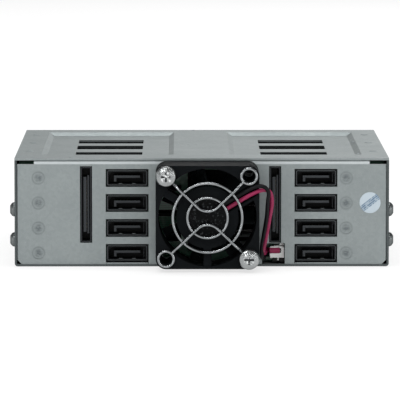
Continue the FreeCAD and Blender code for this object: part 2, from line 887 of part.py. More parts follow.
def panHeadScrew(name, headRadius, headHeight, shankRadius, length, turn):
    """Screw along its own +Z from the seat under the head, then turned into place."""
    body = newBody(name)
    profile = [
        (0, -headHeight), (headRadius * HEAD_CROWN, -headHeight),
        (headRadius * HEAD_SHOULDER, -headHeight * SHOULDER_HEIGHT), (headRadius, -headHeight * HEAD_SIDE),
        (headRadius, 0), (shankRadius, 0), (shankRadius, length), (0, length),
    ]
    revolve(body, "Turned", profile)
    cross = crossRecess(headRadius * RECESS_HALF, headRadius * RECESS_REACH)
    pocket(body, "Recess", "XY", -headHeight, -headHeight * RECESS_FLOOR, [cross])
    body.Placement = Placement(Vector(), turn)
    return body


def sideScrews():
    screws = []
    for side in (-1, 1):
        for z in (s.bay_hole_low, bayHoleHighZ):
            screw = panHeadScrew(
                "side_screw_%d" % (len(screws) + 1), s.side_head_radius, s.side_head_height,
                s.screw_radius, s.side_screw_length, Rotation(Vector(0, 1, 0), -90 * side))
            place(screw, side * halfWidth, bayHoleBackY, z)
            screws.append(screw)
    return node(group("side_screws", screws))


def boardScrews():
    screws = []
    for x, z in boardScrewPlaces:
        screw = panHeadScrew(
            "pcb_screw_%d" % (len(screws) + 1), s.board_head_radius, s.board_head_height,
            s.board_screw_radius, s.board_screw_length, Rotation(Vector(1, 0, 0), 90))
        place(screw, x, boardFront, z)
        screws.append(screw)
    return node(group("pcb_screws", screws))


def guardScrews():
    """Long screws through guard, fan and panel, in two opposite corners."""
    screws = []
    seat = fanBack - s.guard_wire - s.slip
    for dx, dz in ((-1, 1), (1, -1)):
        screw = panHeadScrew(
            "guard_screw_%d" % (len(screws) + 1), s.guard_head_radius, s.guard_head_height,
            s.screw_radius, panelFront - seat, Rotation(Vector(1, 0, 0), -90))
        place(screw, s.fan_x + dx * fanHole, seat, fanZ + dz * fanHole)
        screws.append(screw)
    return node(group("fan_guard_screws", screws))


# ---- fan ----

def beam(degrees, start, end, width):
    """Outline of a straight bar that leaves the centre at an angle."""
    along, across = math.cos(math.radians(degrees)), math.sin(math.radians(degrees))
    half = width / 2
    return poly([
        (reach * along - side * half * across, reach * across + side * half * along)
        for reach, side in ((start, -1), (end, -1), (end, 1), (start, 1))
    ])


def fanFrame():
    """Square housing, round bore; struts carry the motor boss and bearing tube, one has the leads' channel."""
    body = newBody("fan_frame")
    half = fanWidth / 2
    pad(body, "Block", "XZ", fanBack, panelBack, [rect(-half, -half, half, half)])
    fillet(body, "Corners", s.fan_corner, lambda edge: runsAlong(edge, Vector(0, 1, 0)))
    holes = [circle(0, 0, boreRadius)]
    for dx in (-1, 1):
        for dz in (-1, 1):
            holes.append(circle(dx * fanHole, dz * fanHole, s.fan_hole_radius))
    pocket(body, "Bore", "XZ", fanBack, panelBack, holes)
    bossBack = fanBack + s.boss_set_back
    bossFront = bossBack + s.boss_thickness
    pad(body, "Boss", "XZ", bossBack, bossFront, [circle(0, 0, s.boss_radius)])
    start, end = s.strut_start, boreRadius + s.strut_bite
    for number, degrees in enumerate(STRUT_DEGREES):
        strut = beam(degrees, start, end, s.strut_width)
        pad(body, "Strut%d" % number, "XZ", bossBack, bossFront, [strut])
    leadStrut = beam(LEAD_STRUT_DEGREES, start, end, s.lead_strut_width)
    pad(body, "LeadStrut", "XZ", bossBack, bossFront, [leadStrut])
    channel = beam(LEAD_STRUT_DEGREES, s.lead_channel_start, s.lead_channel_end, s.lead_channel_width)
    pocket(body, "LeadChannel", "XZ", fanBack, fanBack + s.lead_channel_depth, [channel])
    bearingFront = bossFront + s.bearing_length
    pad(body, "Bearing", "XZ", bossFront, bearingFront, [circle(0, 0, s.bearing_radius)])
    pocket(body, "BearingBore", "XZ", bossFront, bearingFront, [circle(0, 0, s.shaft_radius + s.shaft_gap)])
    place(body, s.fan_x, 0, fanZ)
    return node(body)


def fanStator():
    """Four-pole iron ring pressed on the bearing tube."""
    body = newBody("fan_stator")
    start = fanBack + s.boss_set_back + s.boss_thickness + s.hub_back_gap
    end = start + s.stator_length
    pad(body, "Core", "XZ", start, end,
        [circle(0, 0, s.stator_core_radius), circle(0, 0, s.bearing_radius + s.stator_fit)])
    for number in range(POLES):
        degrees = 360 / POLES * (number + 0.5)
        pole = beam(degrees, s.stator_pole_start, s.stator_radius, s.stator_pole_width)
        pad(body, "Pole%d" % number, "XZ", start, end, [pole])
    place(body, s.fan_x, 0, fanZ)
    return node(body)


def fanRotor():
    """Hub cup with its shaft and a ring of twisted blades."""
    body = newBody("fan_rotor")
    back = fanBack + s.boss_set_back + s.boss_thickness + s.hub_back_gap
    front = panelBack - s.hub_front_gap
    pad(body, "Hub", "XZ", back, front, [circle(0, 0, s.hub_radius)])
    pocket(body, "HubHollow", "XZ", back, front - s.hub_wall, [circle(0, 0, s.hub_radius - s.hub_wall)])
    pad(body, "Shaft", "XZ", back, front - s.hub_wall, [circle(0, 0, s.shaft_radius)])
    middle = (back + front) / 2

    def section(depth, rise):
        """Thin slanted plate: a parallelogram across the blade's chord."""
        half = s.blade_thickness / 2
        return [poly([
            (middle - depth - half, -rise), (middle - depth + half, -rise),
            (middle + depth + half, rise), (middle + depth - half, rise),
        ])]

    blade = loft(body, "Blade", "YZ", "AdditiveLoft", [
        (s.blade_root_radius, section(s.blade_root_half_depth, s.blade_root_half_rise)),
        (boreRadius - s.blade_tip_gap, section(s.blade_tip_half_depth, s.blade_tip_half_rise)),
    ])
    doc.recompute()
    pattern = body.newObject("PartDesign::PolarPattern", "Blades")
    pattern.Originals = [blade]
    pattern.Axis = ([item for item in body.Origin.OriginFeatures if item.Role == "Y_Axis"][0], [""])
    pattern.Angle = 360
    pattern.Occurrences = BLADES
    body.Tip = pattern
    place(body, s.fan_x, 0, fanZ)
    return node(body)


# ---- bent wire and leads ----

def bentPath(points, radii=None):
    """Straight runs joined by tangent arcs, each as large as its shorter run allows if no radius is given."""
    points = [Vector(*point) for point in points]
    edges, used = [], []
    start = points[0]
    for i in range(1, len(points) - 1):
        before, after = points[i] - points[i - 1], points[i + 1] - points[i]
        turn = before.getAngle(after)
        # the first and last runs have a bend at one end only, so it may take twice the share
        room = [before.Length * (2 if i == 1 else 1), after.Length * (2 if i == len(points) - 2 else 1)]
        given = (radii or {}).get(i)
        radius = given or BEND_SHARE * min(room) / math.tan(turn / 2)
        reach = radius * math.tan(turn / 2)
        before.normalize()
        after.normalize()
        into, out = points[i] - before * reach, points[i] + after * reach
        bisector = after - before
        bisector.normalize()
        centre = points[i] + bisector * (radius / math.cos(turn / 2))
        toCorner = points[i] - centre
        toCorner.normalize()
        edges.append(Part.LineSegment(start, into).toShape())
        edges.append(Part.Arc(into, centre + toCorner * radius, out).toShape())
        used.append(radius)
        start = out
    edges.append(Part.LineSegment(start, points[-1]).toShape())
    return Part.Wire(edges), used


def sweptRod(name, path, radius):
    """A Part::Sweep of a circle along a path, both kept as objects of the document."""
    spine = doc.addObject("Part::Feature", name + "_path")
    spine.Shape = path
    first = path.Edges[0]
    section = doc.addObject("Part::Circle", name + "_section")
    bind(section, "Radius", radius)
    section.Placement = Placement(
        first.valueAt(first.FirstParameter),
        Rotation(Vector(0, 0, 1), first.tangentAt(first.FirstParameter)))
    rod = doc.addObject("Part::Sweep", name)
    rod.Label = name
    rod.Sections = [section]
    rod.Spine = (spine, ["Edge%d" % (i + 1) for i in range(len(path.Edges))])
    rod.Solid = True
    rod.Frenet = False
    return rod


def ring(name, radius, tube, x, y, z):
    """A closed wire ring about the Y axis."""
    torus = doc.addObject("Part::Torus", name)
    bind(torus, "Radius1", radius)
    bind(torus, "Radius2", tube)
    torus.Placement = Placement(Vector(), Rotation(Vector(1, 0, 0), 90))
    place(torus, x, y, z)
    return torus


def fanGuard():
    """Two rings, two bent cross wires over them, and a loop round each corner hole, welded into one."""
    tube = s.guard_wire / 2
    loopY = fanBack - tube
    ringY = loopY - tube - s.guard_weld
    crossY = ringY - s.guard_wire + s.guard_weld
    largeRing = fanHoleReach - s.guard_shoulder_set - s.guard_ring_set
    parts = [
        ring("guard_large_ring", largeRing - tube, tube, s.fan_x, ringY, fanZ),
        ring("guard_small_ring", largeRing - s.guard_ring_step - tube, tube, s.fan_x, ringY, fanZ),
    ]
    loopRadius = s.guard_loop / 2 - tube
    for dx in (-1, 1):
        for dz in (-1, 1):
            parts.append(ring(
                "guard_loop_%d" % len(parts), loopRadius, tube, s.fan_x + dx * fanHole, loopY,
                fanZ + dz * fanHole))
    # the cross wires lie along the diagonals, so these reaches become equal steps in X and Z
    diagonal = 1 / math.sqrt(2)
    shoulder = (fanHoleReach - s.guard_shoulder_set) * diagonal
    ankle = (fanHoleReach - s.guard_ankle_set) * diagonal
    foot = (fanHoleReach - loopRadius) * diagonal
    for dz in (-1, 1):
        cx, cz = s.fan_x.value, fanZ.value
        points = [
            (cx - foot.value, loopY.value, cz + dz * foot.value),
            (cx - ankle.value, loopY.value, cz + dz * ankle.value),
            (cx - shoulder.value, crossY.value, cz + dz * shoulder.value),
            (cx, crossY.value, cz + dz * s.guard_apex.value),
            (cx + shoulder.value, crossY.value, cz + dz * shoulder.value),
            (cx + ankle.value, loopY.value, cz + dz * ankle.value),
            (cx + foot.value, loopY.value, cz + dz * foot.value),
        ]
        path, _ = bentPath(points, {3: s.guard_apex_radius.value})
        parts.append(sweptRod("guard_cross_%s" % ("low" if dz < 0 else "high"), path, tube))
    guard = doc.addObject("Part::MultiFuse", "fan_guard")
    guard.Label = "fan_guard"
    guard.Shapes = parts
    return node(guard)


# routes of the leads: the first points are measured from the centre of the fan's rear face,
# the rest from the middle of the plug's mouth
RED_FROM_FAN = (
    (7.67, 1.1, 3.45), (11.40, 1.1, 5.68), (15.26, 1.0, 8.10), (21.1, 1.0, 10.9), (24.1, 4.0, 9.9),
    (25.3, 6.5, 6.1), (25.0, 9.2, 1.4),
)
RED_TO_PLUG = (
    (-0.4, -14.1, 11.6), (-0.7, -11.6, 5.9), (-1.3, -7.7, 1.2), (-1.9, -5.3, -0.1), (-2.4, 0.0, 1.05),
    (0.0, 0.0, 1.05),
)
BLACK_FROM_FAN = (
    (6.64, 1.1, 5.16), (10.37, 1.1, 7.39), (14.23, 1.0, 9.80), (19.3, 0.6, 12.6), (22.8, -0.1, 11.8),
    (23.6, 0.9, 7.7), (23.1, 4.4, 2.4),
)
BLACK_TO_PLUG = (
    (-2.1, -18.2, 13.9), (-2.2, -15.7, 8.9), (-2.3, -12.7, 4.0), (-2.4, -9.3, 0.1), (-2.5, -5.6, -1.9),
    (-2.5, 0.0, -0.95), (0.0, 0.0, -0.95),
)


def route(fromFan, toPlug):
    """Points of a lead, from the motor boss through the frame's notch and down to the plug."""
    fan = Vector(s.fan_x.value, fanBack.value, fanZ.value)
    plugY = boardBack - s.header_length / 2 - s.plug_mouth_set
    plug = Vector(s.plug_left.value, plugY.value, ((s.header_low + s.header_high) / 2).value)
    return [fan + Vector(*point) for point in fromFan] + [plug + Vector(*point) for point in toPlug]


def lead(name, fromFan, toPlug):
    path, used = bentPath(route(fromFan, toPlug))
    rod = sweptRod(name, path, s.lead_diameter / 2)
    doc.recompute()
    expected = math.pi * (s.lead_diameter.value / 2) ** 2 * path.Length
    print("%s length %.1f radii %s volume ratio %.4f" % (
        name, path.Length, [round(radius, 1) for radius in used], rod.Shape.Volume / expected))
    return node(rod)


# ---- trays ----

def trayFrame(number, x, z):
    """Folded tray for one drive: windowed floor, side walls and a front tab, with the drive's screw holes."""
    body = newBody("tray_%d" % number)
    inner = trayHalf - s.tray_steel
    floor, top = s.tray_gap, s.tray_gap + trayHeight
    above = floor + s.tray_steel
    channel = [
        (-trayHalf, floor), (trayHalf, floor), (trayHalf, top), (inner, top), (inner, above),
        (-inner, above), (-inner, top), (-trayHalf, top),
    ]
    pad(body, "Channel", "XZ", trayBack, trayFront, [poly(channel)])
    pad(body, "Front", "XZ", trayFront - s.tray_steel, trayFront, [rect(-inner, above, inner, top)])
    holeYs = (-s.drive_hole_back, -s.drive_hole_back + s.drive_hole_pitch)
    holeX = s.drive_hole_spread / 2
    cuts = [circle(side * holeX, y, s.drive_hole_radius) for side in (-1, 1) for y in holeYs]
    step = s.tray_window_length + s.tray_window_web
    across, along = s.tray_window_width / 2, s.tray_window_length / 2
    for index in (-1, 0, 1):
        y = (trayFront + trayBack) / 2 + index * step
        cuts.append(rect(-across, y - along, across, y + along))
    pocket(body, "FloorCuts", "XY", floor, above, cuts)
    sideHoles = [circle(y, s.drive_side_hole_z, s.drive_hole_radius) for y in holeYs]
    pocket(body, "SideHoles", "YZ", -trayHalf, trayHalf, sideHoles)
    pocket(body, "FrontVents", "XZ", trayFront - s.tray_steel, trayFront, vents())
    place(body, x, 0, z)
    return node(body)


def vents():
    """The row of upright air slots that bezel, lever and tray share."""
    low, high = leverLow + s.vent_margin, leverHigh - s.vent_margin
    starts = [-s.vent_first + index * s.vent_pitch for index in range(VENTS)]
    return [rect(start, low, start + s.vent_width, high) for start in starts]


pivotX = -s.recess_left + s.lever_gap + s.lever_thickness / 2
pivotY = bezelFront - s.lever_thickness / 2
leverLow = s.tray_gap + s.bezel_lip + s.lever_gap
leverHigh = s.tray_gap + bezelHeight - s.bezel_lip - s.lever_gap


def bezel(number, x, z):
    """Moulded front with the lever's recess, pin holes, air slots, button well and two lamp holes."""
    body = newBody("bezel_%d" % number)
    low, high = s.tray_gap, s.tray_gap + bezelHeight
    pad(body, "Block", "XZ", trayFront, bezelFront, [rect(-trayHalf, low, trayHalf, high)])

    def frontCorner(edge):
        return runsAlong(edge, Vector(0, 0, 1)) and near(edge.CenterOfMass.y, bezelFront)

    fillet(body, "FrontCorners", s.bezel_corner, frontCorner)
    recessBack = bezelFront - s.recess_depth
    pocket(body, "LeverRecess", "XZ", recessBack, bezelFront,
           [rect(-s.recess_left, low + s.bezel_lip, s.recess_right, high - s.bezel_lip)])
    pocket(body, "AirSlots", "XZ", trayFront, recessBack, vents())
    reach = s.pin_reach + s.slip
    pocket(body, "PinHoles", "XY", low + s.bezel_lip - reach, high - s.bezel_lip + reach,
           [circle(pivotX, pivotY, s.pin_radius + s.pin_hole_gap)])
    middle = (low + high) / 2
    wellBack = bezelFront + s.button_proud - s.button_length - s.button_travel - s.button_gap
    pocket(body, "ButtonWell", "XZ", wellBack, bezelFront, [rect(
        s.button_left - s.button_gap, middle - s.button_height / 2 - s.button_gap,
        s.button_left + s.button_width + s.button_gap, middle + s.button_height / 2 + s.button_gap)])
    lamps = [circle(s.lamp_x, z, s.lamp_radius) for z in (s.lamp_low, s.lamp_low + s.lamp_rise)]
    pocket(body, "LampHoles", "XZ", bezelFront - s.lamp_depth, bezelFront, lamps)
    place(body, x, 0, z)
    return node(body)


def lever(number, x, z):
    """Swing lever: rounded at its pin end, slotted for air, with a pin stub above and below."""
    body = newBody("lever_%d" % number)
    tip = s.recess_right - s.lever_gap
    back = bezelFront - s.lever_thickness
    pad(body, "Bar", "XY", leverLow, leverHigh, [rect(pivotX, back, tip, bezelFront)])
    pad(body, "PinEnd", "XY", leverLow, leverHigh, [circle(pivotX, pivotY, s.lever_thickness / 2)])
    pocket(body, "AirSlots", "XZ", back, bezelFront, vents())
    stub = s.pin_reach + s.lever_gap
    pad(body, "PinTop", "XY", leverHigh, leverHigh + stub, [circle(pivotX, pivotY, s.pin_radius)])
    pad(body, "PinUnder", "XY", leverLow - stub, leverLow, [circle(pivotX, pivotY, s.pin_radius)])
    place(body, x, 0, z)
    return node(body)


def button(number, x, z):
    """Release button, a rounded block that stands a little proud of the bezel."""
    body = newBody("button_%d" % number)
    middle = s.tray_gap + bezelHeight / 2
    front = bezelFront + s.button_proud
    pad(body, "Cap", "XZ", front - s.button_length, front, [rect(
        s.button_left, middle - s.button_height / 2,
        s.button_left + s.button_width, middle + s.button_height / 2)])

    def capEdge(edge):
        return near(edge.CenterOfMass.y, front)

    fillet(body, "CapEdges", s.button_proud, capEdge)
    place(body, x, 0, z)
    return node(body)


# ---- the whole cage ----

chassisBase()
centreDivider()
topCover()
coverRivets()
rearPanel()
backplaneBoard()
for column, portX in enumerate((-s.port_left_x, s.port_right_x)):
    for row in range(ROWS):
        sataPort(column * ROWS + row + 1, portX, row)
powerPort("power_port_left", -s.power_left_x)
powerPort("power_port_right", s.power_right_x)
driveConnectors()
fanHeader()
fanPlug()
sideScrews()
boardScrews()
guardScrews()
fanFrame()
fanStator()
fanRotor()
fanGuard()
lead("fan_lead_red", RED_FROM_FAN, RED_TO_PLUG)
lead("fan_lead_black", BLACK_FROM_FAN, BLACK_TO_PLUG)
for column in range(COLUMNS):
    for row in range(ROWS):
        bay = column * ROWS + row + 1
        for piece in (trayFrame, bezel, lever, button):
            piece(bay, columnX(column), rowFloor(row))
doc.recompute()

for item in doc.Objects:
    if "Invalid" in item.State or "Error" in item.State:
        raise RuntimeError("%s did not recompute: %s" % (item.Label, item.State))
for item in NODES:
    if item.Shape.isNull() or not item.Shape.isValid():
        raise RuntimeError("%s has no valid shape" % item.Label)

os.makedirs("parts", exist_ok=True)
for item in NODES:
    item.Shape.exportStep("parts/%s.step" % item.Label)
print("%d nodes, %d solids" % (len(NODES), sum(len(item.Shape.Solids) for item in NODES)))
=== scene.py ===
import math

import bpy
import numpy as np
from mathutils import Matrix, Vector


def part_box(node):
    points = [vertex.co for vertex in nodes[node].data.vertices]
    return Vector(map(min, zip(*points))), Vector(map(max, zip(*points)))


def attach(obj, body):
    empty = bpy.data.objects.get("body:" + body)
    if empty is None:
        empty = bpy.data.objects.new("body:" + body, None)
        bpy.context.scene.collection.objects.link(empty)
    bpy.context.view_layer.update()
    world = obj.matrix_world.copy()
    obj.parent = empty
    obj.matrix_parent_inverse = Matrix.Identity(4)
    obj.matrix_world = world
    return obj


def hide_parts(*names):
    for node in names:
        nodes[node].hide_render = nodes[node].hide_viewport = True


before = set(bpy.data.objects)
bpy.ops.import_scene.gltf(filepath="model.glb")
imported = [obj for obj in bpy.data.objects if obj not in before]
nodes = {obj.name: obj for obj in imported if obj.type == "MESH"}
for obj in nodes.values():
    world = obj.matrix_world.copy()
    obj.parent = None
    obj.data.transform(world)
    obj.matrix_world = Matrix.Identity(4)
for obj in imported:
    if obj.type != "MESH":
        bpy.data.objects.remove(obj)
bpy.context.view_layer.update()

scene = bpy.context.scene
scene.view_settings.view_transform = "Standard"
millimetre = 0.001


# the camera stands behind the cage, a little above it and far away
camera = {
    "stand": (-0.0078, -1.686, 0.1900), "target": (-0.0007, -0.066, 0.0260),
    "lens": 376.0, "sensor": 36.0, "near": 0.05, "far": 30.0,
}


def aim(thing, stand, target):
    thing.location = stand
    thing.rotation_euler = (Vector(target) - Vector(stand)).to_track_quat("-Z", "Y").to_euler()


def makeCamera(spec):
    data = bpy.data.cameras.new("camera")
    data.lens = spec["lens"]
    data.sensor_width = spec["sensor"]
    data.clip_start = spec["near"]
    data.clip_end = spec["far"]
    standing = bpy.data.objects.new("camera", data)
    scene.collection.objects.link(standing)
    aim(standing, spec["stand"], spec["target"])
    scene.camera = standing


makeCamera(camera)
print("camera placed")


# the two fan leads, from the foot of the strut to the plug, in millimetres; lengths in metres
leads = {
    "diameter": 1.6, "stepsAlong": 12, "stepsRound": 5,
    "redLength": 0.0576, "blackLength": 0.0618,
    "red": [
        (9.77, -84.5, 24.60), (13.50, -84.5, 26.83), (17.36, -84.6, 29.25),
        (23.2, -84.7, 32.05), (26.4, -84.0, 31.3), (27.2, -82.4, 26.8),
        (26.3, -79.3, 21.3), (25.4, -76.2, 15.2), (24.4, -72.9, 9.6),
        (23.7, -69.0, 5.6), (24.6, -65.4, 4.8), (25.0, -61.6, 5.8),
        (25.6, -59.95, 5.95), (27.0, -59.95, 5.95),
    ],
    "black": [
        (8.74, -84.5, 26.31), (12.47, -84.5, 28.54), (16.33, -84.6, 30.95),
        (20.2, -85.6, 33.2), (23.4, -86.7, 33.7), (25.9, -86.5, 31.5),
        (25.3, -84.6, 27.2), (25.1, -80.7, 21.0), (24.2, -76.7, 14.9),
        (23.3, -71.9, 8.9), (23.3, -68.4, 3.6), (24.4, -65.0, 3.0),
        (24.4, -59.95, 3.95), (27.0, -59.95, 3.95),
    ],
}


def makeLead(name, points, spec):
    # a NURBS line of third order through the route's control points, with a round section
    data = bpy.data.curves.new(name, "CURVE")
    data.dimensions = "3D"
    line = data.splines.new("NURBS")
    line.points.add(len(points) - 1)
    for point, place in zip(line.points, points):
        point.co = (*[v * millimetre for v in place], 1.0)
        point.radius = spec["diameter"] * millimetre / 2
    line.order_u = 3
    line.use_endpoint_u = True
    line.resolution_u = spec["stepsAlong"]
    data.bevel_depth = 1.0    # metres, times each point's radius
    data.bevel_resolution = spec["stepsRound"]
    data.use_fill_caps = True
    piece = bpy.data.objects.new(name, data)
    scene.collection.objects.link(piece)
    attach(piece, "cage")
    return piece


redLead = makeLead("red_lead", leads["red"], leads)
blackLead = makeLead("black_lead", leads["black"], leads)
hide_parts("fan_lead_red")
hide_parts("fan_lead_black")
print("leads laid")


def newGroup(name, inputs, outputs):
    # a shader node group whose inputs and outputs are all plain values
    tree = bpy.data.node_groups.new(name, "ShaderNodeTree")
    for label, value in inputs.items():
        socket = tree.interface.new_socket(label, in_out="INPUT", socket_type="NodeSocketFloat")
        socket.default_value = value
    for label in outputs:
        tree.interface.new_socket(label, in_out="OUTPUT", socket_type="NodeSocketFloat")
    given = tree.nodes.new("NodeGroupInput").outputs
    return tree, given, tree.nodes.new("NodeGroupOutput")


def feed(node, sockets):
    # an output is linked to the socket, and any other value is set on it
    for name, value in sockets.items():
        if hasattr(value, "is_output"):
            node.id_data.links.new(value, node.inputs[name])
        else:
            node.inputs[name].default_value = value


def addNode(tree, kind, sockets=None, **settings):
    made = tree.nodes.new(kind)
    for name, value in settings.items():
        setattr(made, name, value)
    feed(made, sockets or {})
    return made


def useGroup(tree, group, sockets):
    return addNode(tree, "ShaderNodeGroup", sockets, node_tree=group)


def mathNode(operation, first, second=None, clamp=False):
    # the new node goes into the tree of whichever value is an output
    tree = (first if hasattr(first, "is_output") else second).id_data
    values = {0: first} if second is None else {0: first, 1: second}
    made = addNode(tree, "ShaderNodeMath", values, operation=operation, use_clamp=clamp)
    return made.outputs[0]


def awayFrom(value, middle):
    # the difference of two values, without its sign
    return mathNode("ABSOLUTE", mathNode("SUBTRACT", value, middle))


def times(first, second, clamp=False):
    return mathNode("MULTIPLY", first, second, clamp)


def spread(value, low, high, fromLow=0.0, fromHigh=1.0):
    # low where the value is fromLow, high where it is fromHigh, and even steps between them
    made = addNode(value.id_data, "ShaderNodeMapRange", {
        "Value": value, "From Min": fromLow, "From Max": fromHigh, "To Min": low, "To Max": high,
    })
    return made.outputs["Result"]


def fade(value, near, far):
    return spread(value, 1.0, 0.0, near, far)


def objectPlace(tree, stretch=(1.0, 1.0, 1.0)):
    place = addNode(tree, "ShaderNodeTexCoord").outputs["Object"]
    return addNode(
        tree, "ShaderNodeMapping", {"Vector": place, "Scale": stretch}).outputs["Vector"]


def partsOf(vector):
    split = addNode(vector.id_data, "ShaderNodeSeparateXYZ", {"Vector": vector})
    return [split.outputs[axis] for axis in "XYZ"]


def noise(vector, scale, detail=3.0, roughness=0.5):
    made = addNode(vector.id_data, "ShaderNodeTexNoise", {
        "Vector": vector, "Scale": scale, "Detail": detail, "Roughness": roughness,
    })
    return made.outputs["Fac"]


def makeSpangleGroup():
    # zinc crystals: a patchwork of cells with soft blotches over them and a fine grain
    tree, given, end = newGroup("zincSpangle", {
        "Crystals": 900.0, "Grain": 5200.0, "Blotches": 45.0,
        "Crystal Share": 0.16, "Grain Share": 0.34, "Blotch Share": 0.5, "Grain Height": 0.7,
    }, ("Tone", "Height"))
    vector = objectPlace(tree)
    cells = addNode(
        tree, "ShaderNodeTexVoronoi", {"Vector": vector, "Scale": given["Crystals"]}, feature="F1")
    split = addNode(tree, "ShaderNodeSeparateColor", {"Color": cells.outputs["Color"]})
    blotch = noise(vector, given["Blotches"], 4.0, 0.6)
    fine = noise(vector, given["Grain"], 2.0)
    cellPart = times(split.outputs["Red"], given["Crystal Share"])
    blotchPart = times(blotch, given["Blotch Share"])
    finePart = times(fine, given["Grain Share"])
    grain = times(fine, given["Grain Height"])
    feed(end, {
        "Tone": mathNode("ADD", mathNode("ADD", cellPart, blotchPart), finePart, True),
        "Height": mathNode("ADD", grain, cellPart),
    })
    return tree


def makeMouldGroup():
    # spark-eroded grain of a moulded part, with slow patches where the tool has polished
    tree, given, end = newGroup(
        "mouldGrain", {"Grain": 3500.0, "Patches": 60.0}, ("Tone", "Height"))
    vector = objectPlace(tree)
    feed(end, {
        "Tone": noise(vector, given["Patches"], 4.0),
        "Height": noise(vector, given["Grain"], 2.0),
    })
    return tree


def makeHandlingGroup():
    # fine scratches in rubbed spots: thin bent bands where a stretched noise is near one half,
    # kept only where a slower noise is high
    tree, given, end = newGroup("handling", {
        "Scratches": 120.0, "Amount": 0.5, "Width": 0.012, "Spots": 30.0,
    }, ("Mask",))
    vector = objectPlace(tree, (1.0, 0.35, 1.0))
    away = awayFrom(noise(vector, given["Scratches"], 5.0, 0.7), 0.5)
    thin = fade(away, 0.0, given["Width"])
    spots = spread(noise(vector, given["Spots"], 2.0), 0.0, 1.0, 0.48, 0.66)
    masked = times(thin, spots)
    feed(end, {"Mask": times(masked, given["Amount"])})
    return tree


def makeSpeckGroup():
    # soft-edged specks: the part of a noise between two of its levels, spread from 0 to 1
    tree, given, end = newGroup("specks", {
        "Scale": 900.0, "Detail": 2.0, "Roughness": 0.5, "From": 0.45, "To": 0.6,
    }, ("Mask",))
    cloud = noise(objectPlace(tree), given["Scale"], given["Detail"], given["Roughness"])
    feed(end, {"Mask": spread(cloud, 0.0, 1.0, given["From"], given["To"])})
    return tree


def makeNearestGroup():
    # how far a place lies, along x and along z, from the nearest of evenly spaced places: the
    # remainder over their step, counted from half a step before the first, less half a step
    tree, given, end = newGroup("nearestPlace", {
        "First X": 0.0, "Step X": 0.1, "First Z": 0.0, "Step Z": 0.1,
    }, ("Away X", "Away Z"))
    x, y, z = partsOf(objectPlace(tree))
    for axis, value in (("X", x), ("Z", z)):
        step = given["Step " + axis]
        half = times(step, 0.5)
        edge = mathNode("SUBTRACT", given["First " + axis], half)
        left = mathNode("FLOORED_MODULO", mathNode("SUBTRACT", value, edge), step)
        feed(end, {"Away " + axis: awayFrom(left, half)})
    return tree


def makeBoxGroup():
    # 1 inside a box and 0 outside it: on each axis the distance from the box's middle is
    # compared with half its width; the box is the same on the left and on the right
    inputs = {part + axis: 0.1 for axis in "XYZ" for part in ("Middle ", "Half ")}
    tree, given, end = newGroup("insideBox", inputs, ("Mask",))
    x, y, z = partsOf(objectPlace(tree))
    mask = 1.0
    for axis, value in (("X", mathNode("ABSOLUTE", x)), ("Y", y), ("Z", z)):
        half = given["Half " + axis]
        away = awayFrom(value, given["Middle " + axis])
        inside = fade(away, times(half, 0.98), half)
        mask = times(inside, mask)
    feed(end, {"Mask": mask})
    return tree


spangleGroup = makeSpangleGroup()
mouldGroup = makeMouldGroup()
handlingGroup = makeHandlingGroup()
speckGroup = makeSpeckGroup()
nearestGroup = makeNearestGroup()
boxGroup = makeBoxGroup()


def axisSockets(labels, axes, spec):
    # the pair of millimetres kept for each axis, as a group's inputs in metres
    return {
        label + " " + axis: value * millimetre
        for axis in axes for label, value in zip(labels, spec[axis.lower()])
    }


def newMaterial(name):
    made = bpy.data.materials.new(name)
    made.use_nodes = True
    return made, made.node_tree


def linear(red, green, blue):
    # a colour given as 0 to 255 screen values, turned into the shader's linear light
    part = np.array([red, green, blue]) / 255.0
    light = np.where(part <= 0.04045, part / 12.92, ((part + 0.055) / 1.055) ** 2.4)
    return (*[float(v) for v in light], 1.0)


def blendColours(factor, first, second):
    # each colour is an output or three screen values
    ends = [v if hasattr(v, "is_output") else linear(*v) for v in (first, second)]
    made = addNode(factor.id_data, "ShaderNodeMix", {
        "Factor": factor, "A": ends[0], "B": ends[1],
    }, data_type="RGBA")
    return made.outputs["Result"]


def shadeSurface(
        made, colour, rough, bump, metallic=0.0, shine=0.5, tint=1.0, coat=0.0, clear=0.0):
    # bump is a height that changes over the surface, its strength and its depth in millimetres
    tree = made.node_tree
    height, strength, depth = bump
    raised = addNode(tree, "ShaderNodeBump", {
        "Height": height, "Strength": strength, "Distance": depth * millimetre,
    })
    feed(tree.nodes["Principled BSDF"], {
        "Base Color": colour, "Roughness": rough, "Normal": raised.outputs["Normal"],
        "Metallic": metallic, "Specular IOR Level": shine, "Specular Tint": (tint, tint, tint, 1.0),
        "Coat Weight": coat, "Transmission Weight": clear,
    })
    return made


def makeSheetSteel(name, look, shadeMore=None):
    # shadeMore takes the sheet's own colour and gives it back with what one sheet alone has
    made, tree = newMaterial(name)
    spangle = useGroup(tree, spangleGroup, {"Crystals": look["crystals"]})
    marks = useGroup(tree, handlingGroup, {"Amount": look["scratches"]})
    tone = spangle.outputs["Tone"]
    colour = blendColours(spread(tone, 0.0, 1.0, 0.25, 0.75), look["dark"], look["light"])
    colour = blendColours(marks.outputs["Mask"], colour, look["bare"])
    if shadeMore:
        colour = shadeMore(tree, colour)
    rough, change = look["rough"], look["roughChange"]
    return shadeSurface(
        made, colour, spread(tone, rough + change, rough - change, 0.2, 0.8),
        (spangle.outputs["Height"], *look["bump"]), look["metallic"], look["shine"],
        look["edgeShine"])


